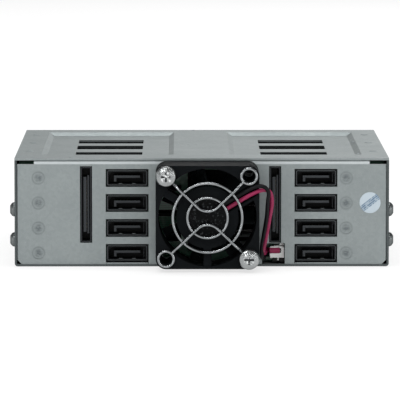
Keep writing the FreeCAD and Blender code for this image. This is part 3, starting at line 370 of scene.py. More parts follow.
def makeStampedSteel(name, look, spec):
    # the sheet's own finish, with painted shade in each stamp's ring groove and a darker middle:
    # the distance from the nearest stamp is the root of the sum of its two squares along x and z
    def shadeStamps(tree, plain):
        near = useGroup(tree, nearestGroup, axisSockets(("First", "Step"), "XZ", spec))
        squares = [times(away, away) for away in near.outputs]
        distance = mathNode("SQRT", mathNode("ADD", *squares))
        fromRing = awayFrom(distance, spec["ring"] * millimetre)
        ring = spread(fromRing, spec["ringShade"], 0.0, 0.0, spec["ringSoft"] * millimetre)
        cloud = noise(objectPlace(tree, (1.0, 1.0, 1.7)), spec["cloud"], 1.0)
        wobble = spread(cloud, 0.45, 1.0, 0.35, 0.55)
        pip = spec["pip"] * millimetre
        middle = times(fade(distance, pip / 3, pip), wobble)
        share = times(mathNode("MAXIMUM", ring, middle), spec["shade"])
        shaded = blendColours(share, plain, spec["colour"])
        # painted highlight: a pale band along the panel's fold under the cover
        up = awayFrom(partsOf(objectPlace(tree))[2], spec["foldZ"] * millimetre)
        half = spec["foldHalf"] * millimetre
        foldHighlight = spread(up, spec["foldHighlightShare"], 0.0, half / 2, half)
        return blendColours(foldHighlight, shaded, spec["paintedFoldHighlight"])
    return makeSheetSteel(name, look, shadeStamps)


def makeShearedAndShadedSteel(name, look, spec):
    # where the sheet is sheared it is bare, and inside a box it is painted dark as shade
    def shadeBox(tree, plain):
        box = useGroup(tree, boxGroup, axisSockets(("Middle", "Half"), "XYZ", spec))
        share = times(box.outputs["Mask"], spec["shade"])
        return blendColours(share, plain, spec["colour"])
    return makeSheetSteel(name, look, shadeBox)


moulding = {"marks": {"Scratches": 160.0, "Amount": 0.25}, "roughChange": 0.06, "bump": 0.35}


def makeMoulded(name, dark, light, rough, grain, depth, shine=0.2):
    made, tree = newMaterial(name)
    mould = useGroup(tree, mouldGroup, {"Grain": grain})
    marks = useGroup(tree, handlingGroup, moulding["marks"])
    tone = mould.outputs["Tone"]
    scratch = [min(255, v * 1.6 + 14) for v in light]    # paler than the light colour
    colour = blendColours(marks.outputs["Mask"], blendColours(tone, dark, light), scratch)
    change = moulding["roughChange"]
    return shadeSurface(
        made, colour, spread(tone, rough + change, rough - change, 0.3, 0.7),
        (mould.outputs["Height"], moulding["bump"], depth), shine=shine)


def makeSmudgedGlintFilm(name, look):
    # glossy black film with pale specks painted on as glints, more of them where it is smudged; the
    # smudges also change its roughness
    made, tree = newMaterial(name)
    specks = useGroup(tree, speckGroup, look["specks"]).outputs["Mask"]
    smudge = spread(useGroup(tree, speckGroup, look["smudges"]).outputs["Mask"], 0.25, 1.0)
    colour = blendColours(times(specks, smudge), look["dark"], look["paintedGlintSpeck"])
    return shadeSurface(
        made, colour, spread(smudge, *look["rough"]), (specks, *look["bump"]), shine=look["shine"])


plating = {
    "mould": {"Grain": 1800.0, "Patches": 300.0}, "marks": {"Scratches": 420.0, "Amount": 0.8},
    "smoother": 0.04, "rougher": 0.05, "scratchRough": 0.2, "bump": (0.12, 0.01),
}


def startPlated(name, dark, light, rough):
    made, tree = newMaterial(name)
    mould = useGroup(tree, mouldGroup, plating["mould"])
    tone = mould.outputs["Tone"]
    uneven = spread(tone, rough - plating["smoother"], rough + plating["rougher"], 0.3, 0.7)
    return made, tree, mould, blendColours(tone, dark, light), uneven


def makePlated(name, dark, light, rough, edgeShine=0.5, edge=None):
    made, tree, mould, colour, uneven = startPlated(name, dark, light, rough)
    marks = useGroup(tree, handlingGroup, plating["marks"])
    if edge:
        # painted reflection: round wire is coloured darker along both its edges, where it would
        # mirror dark surroundings
        paintedEdgeReflection = addNode(tree, "ShaderNodeLayerWeight")
        share = spread(paintedEdgeReflection.outputs["Facing"], 0.0, 1.0, 0.15, 0.5)
        colour = blendColours(share, colour, edge)
    dulled = times(marks.outputs["Mask"], plating["scratchRough"])
    return shadeSurface(
        made, colour, mathNode("ADD", uneven, dulled), (mould.outputs["Height"], *plating["bump"]),
        metallic=1.0, tint=edgeShine)


def makeCrossScrew(name, dark, light, rough, spec):
    # plated screw head with painted shade in its cross recess and painted glints over its middle: a
    # place is in the cross where it is near the screw's middle along x or z and not too far along
    # the other
    made, tree, mould, plain, uneven = startPlated(name, dark, light, rough)
    near = useGroup(tree, nearestGroup, axisSockets(("First", "Step"), "XZ", spec))
    thin = mathNode("MINIMUM", *near.outputs)
    far = mathNode("MAXIMUM", *near.outputs)
    half, reach = spec["half"] * millimetre, spec["reach"] * millimetre
    cross = times(fade(thin, half * 0.7, half), fade(far, reach * 0.9, reach))
    glints = useGroup(tree, speckGroup, spec["glints"]).outputs["Mask"]
    within = times(fade(far, reach * 0.8, reach * 1.1), glints)
    shaded = blendColours(cross, plain, spec["shade"])
    return shadeSurface(
        made, blendColours(within, shaded, spec["glint"]), uneven,
        (glints, *spec["bump"]), metallic=1.0, tint=spec["edgeShine"])


def makeBoard(name, look):
    # solder mask over a mesh of copper tracks
    made, tree = newMaterial(name)
    flat = addNode(tree, "ShaderNodeMapping", {
        "Vector": objectPlace(tree), "Rotation": (math.radians(90), 0.0, 0.0),
    })
    tracks = addNode(tree, "ShaderNodeTexBrick", {
        "Vector": flat.outputs["Vector"], "Scale": look["tracks"], "Mortar Size": look["gap"],
        "Brick Width": look["long"], "Row Height": look["wide"],
    }, offset=look["stagger"], squash=1.0)
    patches = useGroup(tree, speckGroup, look["patches"])
    shown = times(tracks.outputs["Fac"], patches.outputs["Mask"])
    return shadeSurface(
        made, blendColours(shown, look["mask"], look["copper"]), look["rough"],
        (shown, *look["bump"]), coat=look["coat"])


leadLook = {
    "mould": {"Grain": 2400.0, "Patches": 180.0}, "rough": (0.42, 0.3), "bump": (0.15, 0.02),
}


def makeLeadSkin(name, dark, light, shine):
    made, tree = newMaterial(name)
    mould = useGroup(tree, mouldGroup, leadLook["mould"])
    tone = mould.outputs["Tone"]
    return shadeSurface(
        made, blendColours(tone, dark, light), spread(tone, *leadLook["rough"], 0.3, 0.7),
        (mould.outputs["Height"], *leadLook["bump"]), shine=shine)


def makeStatorIron(name, look):
    # dark stacked iron sheets with lacquered copper showing between them
    made, tree = newMaterial(name)
    bands = addNode(tree, "ShaderNodeTexWave", {
        "Vector": objectPlace(tree), "Scale": look["sheets"], "Distortion": look["bend"],
    }, bands_direction="Y").outputs["Fac"]
    return shadeSurface(
        made, blendColours(bands, look["iron"], look["copper"]),
        spread(bands, *look["rough"]), (bands, *look["bump"]), look["metallic"])


def makeSealPaper(name, spec):
    # a pale paper seal crossed by one slanting blue band with fine broken rules in it
    made, tree = newMaterial(name)
    laid = addNode(tree, "ShaderNodeMapping", {
        "Vector": addNode(tree, "ShaderNodeTexCoord").outputs["Object"],
        "Location": [v * millimetre for v in spec["middle"]],
        "Rotation": (0.0, math.radians(-spec["slant"]), 0.0),
    }, vector_type="TEXTURE").outputs["Vector"]
    away = mathNode("ABSOLUTE", partsOf(laid)[2])
    half = spec["bandHalf"] * millimetre
    rules = addNode(
        tree, "ShaderNodeTexWave", {"Vector": laid, "Scale": spec["rules"]}, bands_direction="Z")
    broken = spread(noise(laid, spec["breaks"], 1.0), 0.0, 1.0, 0.42, 0.55)
    ruled = mathNode("ADD", spec["tint"], times(rules.outputs["Fac"], broken))
    printed = times(fade(away, half * 0.8, half), ruled, True)
    return shadeSurface(
        made, blendColours(printed, spec["paper"], spec["ink"]), spec["rough"],
        (broken, *spec["bump"]), shine=spec["shine"])


def makeFoam(name, look):
    # open black foam: paler walls between small dark cells
    made, tree = newMaterial(name)
    cells = addNode(tree, "ShaderNodeTexVoronoi", {
        "Vector": objectPlace(tree), "Scale": look["cells"],
    }, feature="DISTANCE_TO_EDGE")
    wall = fade(cells.outputs["Distance"], *look["wall"])
    return shadeSurface(
        made, blendColours(wall, look["dark"], look["light"]), look["rough"],
        (wall, *look["bump"]), shine=look["shine"])


lensLook = {
    "mould": {"Grain": 5000.0, "Patches": 900.0}, "rough": 0.22, "clear": 0.3, "bump": (0.1, 0.01),
}


def makeLampLens(name, dark, light):
    # frosted lamp lens, its colour uneven in small clouds
    made, tree = newMaterial(name)
    cloud = useGroup(tree, mouldGroup, lensLook["mould"])
    return shadeSurface(
        made, blendColours(cloud.outputs["Tone"], dark, light), lensLook["rough"],
        (cloud.outputs["Height"], *lensLook["bump"]), clear=lensLook["clear"])


# colours are screen values, places are in millimetres, and a bump is its strength and depth
steelLook = {
    "dark": (134, 141, 142), "light": (148, 155, 155), "bare": (176, 182, 184),
    "metallic": 0.6, "shine": 0.18, "edgeShine": 0.2, "rough": 0.46,
    "roughChange": 0.07, "crystals": 900.0, "scratches": 0.15, "bump": (0.25, 0.02),
}
# the first stamp and the step to the next one, along x and z
portStamp = {
    # painted shade in each stamp's ring groove, and a darker middle
    "x": (-63.7, 120.0), "z": (5.2, 9.8), "ring": 2.3, "ringSoft": 0.6, "ringShade": 0.3,
    "pip": 2.1, "cloud": 700.0, "shade": 0.7, "colour": (84, 91, 94),
    # the painted highlight along the panel's fold under the cover
    "foldZ": 40.6, "foldHalf": 0.75, "foldHighlightShare": 0.5, "paintedFoldHighlight": (228, 234, 236),
}
# the middle and half width along each axis of the box of painted shade over the bare sheared walls:
# the cover's slit walls and the floor's rear edge
coverSlits = {
    "x": (36.75, 13.5), "y": (-3.25, 35.9), "z": (40.5, 0.38), "shade": 0.95,
    "colour": (24, 27, 28),
}
# the floor's rear edge: bare sheared steel in painted shade
baseEdge = {
    "x": (0.0, 100.0), "y": (-66.0, 0.05), "z": (20.0, 50.0), "shade": 0.85,
    "colour": (66, 71, 72),
}
# painted shade in the cross recess and painted glints over the screw head's middle
guardScrew = {
    "x": (-13.9, 32.0), "z": (5.15, 32.0), "half": 0.5, "reach": 2.0,
    "glints": {"Scale": 900.0, "Detail": 2.0, "Roughness": 0.6, "From": 0.47, "To": 0.62},
    "shade": (58, 61, 63), "glint": (232, 235, 235), "edgeShine": 0.5, "bump": (0.4, 0.09),
}
seal = {
    "middle": (65.6, -65.7, 24.9), "radius": 4.1, "thick": 0.09, "slant": 38.0,
    "bandHalf": 1.35, "rules": 420.0, "breaks": 900.0, "tint": 0.35, "paper": (176, 188, 196),
    "ink": (88, 112, 134), "rough": 0.4, "shine": 0.3, "bump": (0.1, 0.01),
}
hubFilm = {
    # the pale specks are painted glints
    "dark": (2, 3, 4), "paintedGlintSpeck": (104, 108, 111), "shine": 0.07, "rough": (0.22, 0.42),
    "specks": {"Scale": 900.0, "Detail": 3.0, "Roughness": 0.7, "From": 0.56, "To": 0.72},
    "smudges": {"Scale": 260.0, "From": 0.42, "To": 0.62}, "bump": (0.3, 0.06),
}
boardLook = {
    "mask": (16, 96, 66), "copper": (44, 132, 94), "tracks": 420.0, "gap": 0.035, "long": 2.4,
    "wide": 0.35, "stagger": 0.37, "patches": {"Scale": 90.0, "From": 0.44, "To": 0.5},
    "rough": 0.32, "coat": 0.3, "bump": (0.3, 0.03),
}
statorLook = {
    "iron": (44, 42, 42), "copper": (104, 74, 52), "sheets": 700.0, "bend": 0.4,
    "metallic": 0.7, "rough": (0.5, 0.36), "bump": (0.3, 0.03),
}
foamLook = {
    "dark": (4, 4, 5), "light": (20, 21, 22), "cells": 1400.0, "wall": (0.02, 0.2),
    "rough": 0.9, "shine": 0.05, "bump": (0.6, 0.1),
}

# moulded: dark and light colour, roughness, grain, its depth, shine;
# plated: dark and light colour, roughness, shine at the edges, painted reflection colour at the
# edges
recipes = {
    "galvanisedSteel": (makeSheetSteel, steelLook),
    "stampedSteel": (makeStampedSteel, steelLook, portStamp),
    "slitSteel": (makeShearedAndShadedSteel, steelLook, coverSlits),
    "baseSteel": (makeShearedAndShadedSteel, steelLook, baseEdge),
    "paintedSteel": (makeMoulded, (13, 14, 15), (22, 23, 24), 0.68, 2200.0, 0.03, 0.1),
    "blackPlastic": (makeMoulded, (16, 17, 18), (28, 29, 31), 0.46, 3200.0, 0.04),
    "greyPlastic": (makeMoulded, (92, 95, 98), (112, 115, 118), 0.42, 3200.0, 0.03),
    "connectorPlastic": (makeMoulded, (6, 8, 10), (13, 15, 17), 0.4, 4200.0, 0.01, 0.1),
    # lighter copies of the connector plastic: painted highlights on lips, tongue ends and walls
    "lipPlastic": (makeMoulded, (62, 66, 68), (80, 84, 86), 0.36, 4200.0, 0.01),
    "tonguePlastic": (makeMoulded, (40, 43, 46), (56, 59, 62), 0.36, 4200.0, 0.01),
    "fanPlastic": (makeMoulded, (9, 11, 13), (17, 20, 22), 0.78, 2600.0, 0.03, 0.06),
    "rotorPlastic": (makeMoulded, (14, 17, 18), (24, 28, 30), 0.28, 2600.0, 0.02, 0.4),
    "whiteNylon": (makeMoulded, (238, 239, 238), (248, 248, 247), 0.42, 3000.0, 0.01),
    "chipPlastic": (makeMoulded, (14, 14, 15), (26, 26, 27), 0.5, 2600.0, 0.01),
    "ceramicPart": (makeMoulded, (112, 88, 66), (150, 122, 94), 0.4, 2400.0, 0.01),
    # the chrome wire's last colour is a painted dark reflection along its edges
    "chromeWire": (makePlated, (112, 116, 118), (166, 169, 171), 0.09, 0.45, (44, 47, 49)),
    "platedScrew": (makePlated, (120, 124, 125), (176, 178, 178), 0.22),
    # a darker copy of the plated screw finish, painted shade, on the side screws and the port
    # springs
    "sideScrew": (makePlated, (92, 96, 97), (126, 130, 130), 0.3, 0.3),
    "contactGold": (makePlated, (112, 102, 78), (140, 128, 100), 0.28),
    "guardScrew": (makeCrossScrew, (130, 134, 135), (184, 186, 186), 0.24, guardScrew),
    "hubLabel": (makeSmudgedGlintFilm, hubFilm),
    "statorIron": (makeStatorIron, statorLook),
    "greenBoard": (makeBoard, boardLook),
    "redLeadSkin": (makeLeadSkin, (124, 20, 58), (152, 36, 84), 0.3),
    "blackLeadSkin": (makeLeadSkin, (10, 10, 12), (20, 20, 23), 0.12),
    "greenLens": (makeLampLens, (70, 128, 84), (132, 182, 140)),
    "amberLens": (makeLampLens, (176, 112, 40), (212, 158, 84)),
    "blackFoam": (makeFoam, foamLook),
    "sealPaper": (makeSealPaper, seal),
}
finishes = {name: maker(name, *look) for name, (maker, *look) in recipes.items()}
print("finishes mixed")


def dress(piece, finish):
    piece.data.materials.clear()
    piece.data.materials.append(finishes[finish])


dress(redLead, "redLeadSkin")
dress(blackLead, "blackLeadSkin")


# a finish, how wide its nodes' edges are rounded in millimetres, and how their names start
families = [
    ("baseSteel", 0.0, "chassis_base"),
    ("galvanisedSteel", 0.0, ("centre_divider", "cover_rivets")),
    ("slitSteel", 0.0, "top_cover"),
    ("stampedSteel", 0.0, "rear_panel"),
    ("greenBoard", 0.0, "backplane_pcb"),
    ("connectorPlastic", 0.1, ("sata_port", "power_port", "drive_connectors")),
    ("whiteNylon", 0.08, ("fan_header", "fan_plug")),
    ("sideScrew", 0.0, "side_screws"),
    ("platedScrew", 0.0, "pcb_screws"),
    ("guardScrew", 0.0, "fan_guard_screws"),
    ("chromeWire", 0.0, "fan_guard"),
    ("fanPlastic", 0.12, "fan_frame"),
    ("rotorPlastic", 0.08, "fan_rotor"),
    ("statorIron", 0.0, "fan_stator"),
    ("paintedSteel", 0.0, "tray"),
    ("blackPlastic", 0.15, ("bezel", "lever")),
    ("greyPlastic", 0.12, "button"),
]
rounding = {"weld": 0.002, "segments": 2, "sharpest": 40}    # millimetres, steps, degrees


def roundEdges(piece, width, spec):
    weld = piece.modifiers.new("weld", "WELD")
    weld.merge_threshold = spec["weld"] * millimetre
    bevel = piece.modifiers.new("bevel", "BEVEL")
    bevel.width = width * millimetre
    bevel.segments = spec["segments"]
    bevel.limit_method = "ANGLE"
    bevel.angle_limit = math.radians(spec["sharpest"])
    bevel.use_clamp_overlap = True
    bevel.miter_outer = "MITER_ARC"
    bevel.loop_slide = False


def finishNodes():
    for name, piece in nodes.items():
        for finish, width, starts in families:
            if name.startswith(starts):
                dress(piece, finish)
                if width:
                    roundEdges(piece, width, rounding)
                break
        else:
            print("no finish for", name)


finishNodes()
print("nodes finished")


def boxOf(name):
    # lowest and highest corner of a CAD node, in millimetres
    low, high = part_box(name)
    return np.array(low) / millimetre, np.array(high) / millimetre


# how far a piece reaches into what carries it, in millimetres
sink, shallowSink = 0.1, 0.05


# a shape is a grid of points in millimetres and the quads between them
def gridQuads(rows, columns, wrapRows=False):
    # each quad joins a point, its neighbour round the row, and the same two in the next row
    row = np.arange(rows if wrapRows else rows - 1)[:, None] * columns
    nextRow = (row + columns) % (rows * columns)
    here = np.arange(columns)[None, :]
    after = (here + 1) % columns
    quads = np.stack([row + here, row + after, nextRow + after, nextRow + here], -1)
    return quads.reshape(-1, 4)


def closedForm(rings):
    # the grid round the rings, and on each end ring strips of quads from side to side
    rows, columns = rings.shape[:2]
    step = np.arange(columns // 2 - 1)
    cap = np.stack([step, step + 1, columns - 2 - step, columns - 1 - step], -1)
    quads = np.concatenate([gridQuads(rows, columns), cap[:, ::-1], cap + (rows - 1) * columns])
    return rings.reshape(-1, 3), quads


def roundedOutline(halfWidth, halfHeight, corner, count):
    # a circle of the corner's radius whose four quarters are pushed apart to the corners
    turn = (np.arange(count) + 0.5) * 2 * np.pi / count
    across = np.sign(np.cos(turn)) * (halfWidth - corner) + corner * np.cos(turn)
    up = np.sign(np.sin(turn)) * (halfHeight - corner) + corner * np.sin(turn)
    return across, up


def block(low, high, corner=0.15, edge=0.08, count=16):
    # a rounded outline carried along y, drawn in by a quarter circle near both ends
    low, high = np.array(low, float), np.array(high, float)
    middle, half = (low + high) / 2, (high - low) / 2
    bend = np.linspace(0, np.pi / 2, 3)
    inset = edge * (1 - np.sin(bend))
    depth = half[1] - edge * (1 - np.cos(bend))
    inset = np.concatenate([inset, inset[::-1]])[:, None]
    depth = np.concatenate([depth, -depth[::-1]])
    across, up = roundedOutline(half[0], half[2], min(corner, half[0], half[2]), count)
    rings = np.empty((len(depth), count, 3))
    rings[..., 0] = middle[0] + across - np.sign(across) * inset
    rings[..., 1] = middle[1] + depth[:, None]
    rings[..., 2] = middle[2] + up - np.sign(up) * inset
    return closedForm(rings)


def turned(centre, profile, count=24):
    # radius and depth along a profile, carried round the y axis: x and z are the radius
    # times the cosine and sine of the angle
    turn = (np.arange(count) + 0.5) * 2 * np.pi / count
    radius, depth = np.array(profile, float).T
    rings = np.stack([
        radius[:, None] * np.cos(turn), np.repeat(depth[:, None], count, 1),
        radius[:, None] * np.sin(turn),
    ], -1)
    return closedForm(rings + np.array(centre))


def rim(centre, halfWidth, halfHeight, corner, section, count=32):
    # a closed section of outward steps and depths carried round a rounded outline
    rings = []
    for outward, depth in section:
        across, up = roundedOutline(
            halfWidth + outward, halfHeight + outward, corner + outward, count)
        rings.append(np.stack([across, np.full(count, depth), up], -1))
    rings = np.array(rings) + np.array(centre)
    return rings.reshape(-1, 3), gridQuads(len(section), count, True)


def alongX(shape):
    # a shape made along y, laid along x by swapping the two
    points, quads = shape
    return points[:, [1, 0, 2]], quads[:, ::-1]


def upright(shape):
    # a shape made along y, stood up along z by swapping the two
    points, quads = shape
    return points[:, [0, 2, 1]], quads[:, ::-1]


def repeat(shape, places):
    # the same shape moved to each place, in one grid of points
    points, quads = shape
    places = np.array(places, float)
    moved = (points[None] + places[:, None]).reshape(-1, 3)
    numbers = quads[None] + (np.arange(len(places)) * len(points))[:, None, None]
    return moved, numbers.reshape(-1, 4)


def together(shapes):
    starts = np.cumsum([0] + [len(points) for points, quads in shapes[:-1]])
    return (
        np.concatenate([points for points, quads in shapes]),
        np.concatenate([quads + start for (points, quads), start in zip(shapes, starts)]),
    )


sharpFrom = 35    # degrees between faces that meet in a crisp edge


def addPiece(name, shapes, finish, body="cage"):
    points, quads = together(shapes)
    mesh = bpy.data.meshes.new(name)
    mesh.from_pydata((points * millimetre).tolist(), [], quads.tolist())
    mesh.shade_smooth()
    mesh.set_sharp_from_angle(angle=math.radians(sharpFrom))
    piece = bpy.data.objects.new(name, mesh)
    scene.collection.objects.link(piece)
    dress(piece, finish)
    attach(piece, body)


# data ports: a thin lip round each shroud, a tongue end and a wall in each cavity, these three
# painted pale as highlights on the black plastic, contacts, latch springs, and a steel sill under
# each bottom port
dataPort = {
    "lipInset": 0.64, "lip": 0.24, "lipProud": 0.12, "corner": 0.35,
    "tongueHalf": 5.1, "tongueTop": 0.9, "tongueUnder": 0.0, "tongueFoot": -1.5,
    "footWide": 0.9, "footLap": 0.2, "tongueEnd": 0.7, "capThick": 0.12,
    "wallX": 6.35, "wallThick": 0.3, "wallHalf": 2.0, "wallDeep": 3.0,
    "contacts": 7, "pitch": 1.27, "contactHalf": 0.36, "contactFrom": 0.5,
    "contactRise": 0.07, "contactLength": 4.2, "cavityFloor": -2.3, "springX": 2.6,
    "springHalf": 0.7, "springRise": 0.2, "springFrom": 0.15, "springLength": 4.6,
    "bottomPorts": (1, 5), "sillLow": 0.75, "sillHigh": 1.45, "sillSide": 0.1,
    "sillFront": -65.5, "sillBack": -64.9,
}


def evenRow(count, pitch):
    # places a pitch apart, half of them on each side of nought
    return (np.arange(count) - (count - 1) / 2) * pitch


def dressDataPorts(spec):
    lips, caps, walls, contacts, springs, sills = [], [], [], [], [], []
    lip, proud = spec["lip"], spec["lipProud"]
    section = [
        (lip, shallowSink), (lip, -proud * 0.6), (lip * 0.6, -proud), (lip * 0.2, -proud),
        (0.0, -proud * 0.3), (0.0, shallowSink),
    ]
    for number in range(1, 9):
        low, high = boxOf("sata_port_%d" % number)
        x, y, z = (low + high) / 2
        half, back = (high - low) / 2 - spec["lipInset"], low[1]
        lips.append(rim((x, back, z), half[0], half[2], spec["corner"], section))
        end = back + spec["tongueEnd"]
        capEnd, left = end - spec["capThick"], x - spec["tongueHalf"]
        top, under = z + spec["tongueTop"], z + spec["tongueUnder"]
        caps += [
            block((left, capEnd, under), (x + spec["tongueHalf"], end + sink, top)),
            block(
                (left, capEnd, z + spec["tongueFoot"]),
                (left + spec["footWide"], end + sink, under + spec["footLap"])),
        ]
        wall = x + spec["wallX"]
        walls.append(block(
            (wall, end, z - spec["wallHalf"]),
            (wall + spec["wallThick"], end + spec["wallDeep"], z + spec["wallHalf"])))
        strip = block(
            (-spec["contactHalf"], end + spec["contactFrom"], top - sink),
            (spec["contactHalf"], end + spec["contactLength"], top + spec["contactRise"]))
        xs = x + evenRow(spec["contacts"], spec["pitch"])
        contacts.append(repeat(strip, [(x, 0, 0) for x in xs]))
        floor = z + spec["cavityFloor"]
        spring = block(
            (-spec["springHalf"], back + spec["springFrom"], floor - sink),
            (spec["springHalf"], back + spec["springLength"], floor + spec["springRise"]))
        springs.append(repeat(spring, [(x - spec["springX"], 0, 0), (x + spec["springX"], 0, 0)]))
        if number in spec["bottomPorts"]:
            # the sill closes the open foot of the panel's slot
            sills.append(block(
                (low[0] - spec["sillSide"], spec["sillFront"], spec["sillLow"]),
                (high[0] + spec["sillSide"], spec["sillBack"], spec["sillHigh"])))
    addPiece("port_sills", sills, "galvanisedSteel")
    # lips, tongue ends and walls are lighter copies of the black connector plastic: painted
    # highlights
    addPiece("data_port_lips", lips, "lipPlastic")
    addPiece("data_port_tongue_ends", caps, "tonguePlastic")
    addPiece("data_port_highlight_walls", walls, "tonguePlastic")
    addPiece("data_port_contacts", contacts, "contactGold")
    addPiece("data_port_springs", springs, "sideScrew")


dressDataPorts(dataPort)
print("data ports detailed")


# power ports: a thin lip, a tongue end and a slim rib beside the contacts, all painted pale as
# highlights, and gilt contacts
powerPort = {
    "tongueLeft": -1.05, "tongueRight": 0.15, "reach": 10.75, "end": 0.7, "capThick": 0.12,
    "ribLeft": 0.5, "ribRight": 1.2, "ribReach": 11.4, "ribDeep": 5.0,
    "contacts": 15, "pitch": 1.27, "contactHalf": 0.34, "contactRise": 0.2,
    "contactFrom": 0.6, "contactLength": 4.6, "lipInset": 0.42, "lip": 0.26, "lipProud": 0.1,
    "corner": 0.25,
}


def dressPowerPorts(spec):
    caps, contacts, lips = [], [], []
    lip, proud = spec["lip"], spec["lipProud"]
    section = [(lip, shallowSink), (lip, -proud), (0.0, -proud), (0.0, shallowSink)]
    for name in ("power_port_left", "power_port_right"):
        low, high = boxOf(name)
        x, y, z = (low + high) / 2
        half, back = (high - low) / 2 - spec["lipInset"], low[1]
        lips.append(rim((x, back, z), half[0], half[2], spec["corner"], section))
        end, side = back + spec["end"], x + spec["tongueRight"]
        caps += [
            block(
                (x + spec["tongueLeft"], end - spec["capThick"], z - spec["reach"]),
                (side, end + sink, z + spec["reach"])),
            block(
                (x + spec["ribLeft"], end, z - spec["ribReach"]),
                (x + spec["ribRight"], end + spec["ribDeep"], z + spec["ribReach"])),
        ]
        strip = block(
            (side - sink, end + spec["contactFrom"], -spec["contactHalf"]),
            (side + spec["contactRise"], end + spec["contactLength"], spec["contactHalf"]))
        zs = z + evenRow(spec["contacts"], spec["pitch"])
        contacts.append(repeat(strip, [(0, 0, z) for z in zs]))
    # tongue ends, ribs and lips are painted pale as highlights on the black plastic
    addPiece("power_port_tongue_ends", caps, "tonguePlastic")
    addPiece("power_port_contacts", contacts, "contactGold")
    addPiece("power_port_lips", lips, "tonguePlastic")


dressPowerPorts(powerPort)
print("power ports detailed")


# a disc's or dome's profile ends on this small radius, so that no faces meet in one point
needle = 0.05


# the seal on the panel and the plain label on the fan's boss
def makeSeal(spec):
    radius, thick = spec["radius"], spec["thick"]
    face = shallowSink - thick    # from its middle to its outer face
    profile = [
        (radius * 0.98, sink), (radius, sink * 0.8), (radius, shallowSink - thick * 0.5),
        (radius * 0.985, shallowSink - thick * 0.9), (radius * 0.6, face), (needle, face),
    ]
    addPiece("panel_seal", [turned(spec["middle"], profile, 48)], "sealPaper")


hubLabel = {"middle": (2.1, -85.2, 21.15), "radius": 7.6, "step": 0.16, "centre": 2.4}


def makeHubLabel(spec):
    radius, step, centre = spec["radius"], spec["step"], spec["centre"]
    profile = [
        (radius, sink), (radius, -step * 0.6), (radius * 0.97, -step), (radius * 0.9, -step),
        (radius * 0.88, -step * 0.5), (centre * 1.15, -step * 0.5), (centre, -step * 0.85),
        (centre * 0.3, -step), (needle, -step),
    ]
    addPiece("hub_label", [turned(spec["middle"], profile, 48)], "hubLabel")


makeSeal(seal)
makeHubLabel(hubLabel)
print("seal and hub label laid")


# the plug's shell over the header's rear wall, with the crimped red lead in its window, which a
# black plate fills as painted shade, a white key above and two black feet below
plugShell = {
    "shell": ((26.6, -63.5, 2.9), (32.2, -63.0, 7.6)),
    "window": ((27.6, -63.56, 5.0), (31.0, -63.3, 6.8)),
    "key": ((30.3, -62.9, 7.9), (32.2, -57.0, 8.6)),
    "feet": [((27.6, -63.6, 1.5), (29.5, -62.6, 3.1)), ((30.2, -63.6, 1.5), (32.2, -62.6, 3.1))],
    "leadZ": 5.9, "leadY": -63.1, "lead": 1.2, "leadFrom": 26.4, "leadTo": 30.5,
    "crimp": 0.55, "crimpTo": 31.1, "shellRound": (0.4, 0.15),
}


def dressPlug(spec):
    start, end = spec["leadFrom"], spec["leadTo"]
    radius, crimp, crimpEnd = spec["lead"], spec["crimp"], spec["crimpTo"]
    centre = (spec["leadY"], 0, spec["leadZ"])
    shell = block(*spec["shell"], *spec["shellRound"])
    addPiece("plug_shell", [shell, block(*spec["key"])], "whiteNylon")
    # the window is a black plate, painted shade in its opening
    black = [block(*corners) for corners in (spec["window"], *spec["feet"])]
    addPiece("plug_window", black, "chipPlastic")
    stub = [
        (radius * 0.6, end + 0.1), (radius * 0.9, end), (radius, end - 0.3),
        (radius, start + 0.2), (radius * 0.8, start),
    ]
    addPiece("plug_lead_end", [alongX(turned(centre, stub, 20))], "redLeadSkin")
    barrel = [
        (crimp * 0.8, crimpEnd), (crimp, crimpEnd - 0.15), (crimp, end + 0.3),
        (crimp * 0.7, end + 0.1), (crimp * 0.7, end - 0.2),
    ]
    addPiece("plug_crimp", [alongX(turned(centre, barrel, 16))], "platedScrew")


dressPlug(plugShell)
print("plug detailed")


# parts soldered on the backplane: x and z of chips and cans, and for the small parts on the
# front and rear faces the height z of each row and the x of its parts
boardParts = {
    "chips": [(-60.5, 21.0), (59.5, 33.2), (-15.0, 3.0)],
    "chipHalf": 3.2, "chipShort": 1.5, "chipTall": 1.1,
    "pins": 6, "pinHalf": 0.18, "pinReach": 0.7, "pinTall": 0.4, "pinEdge": 0.5,
    "smallHalf": (0.8, 0.5), "smallTall": 0.6,
    "front": {
        30.0: (-64.0, -61.0, -58.0), 12.0: (-64.0, -61.0, -58.0), 27.0: (-53.5,), 16.0: (-53.5,),
        2.9: (-4.0, -1.0, 5.0, 8.0, 12.0), 38.8: (-4.0, 0.0, 6.0, 11.0, 14.5),
    },
    "rear": {
        8.6: (26.0, 29.2), 12.0: (-62.0, 60.0, -12.0), 15.0: (-12.0,), 16.0: (-62.0, 60.0),
        20.0: (-62.0,), 28.0: (-12.0,), 30.0: (-55.0, 63.0),
    },
    "cans": [(-66.2, 21.0), (-55.0, 21.0)], "canRadius": 1.9, "canTall": 3.4,
}


def standing(face, halfX, halfZ, tall):
    # a block that stands on the board's front face, or hangs from its rear one if tall is below 0
    ends = sorted((face - math.copysign(shallowSink, tall), face + tall))
    return block((-halfX, ends[0], -halfZ), (halfX, ends[1], halfZ))


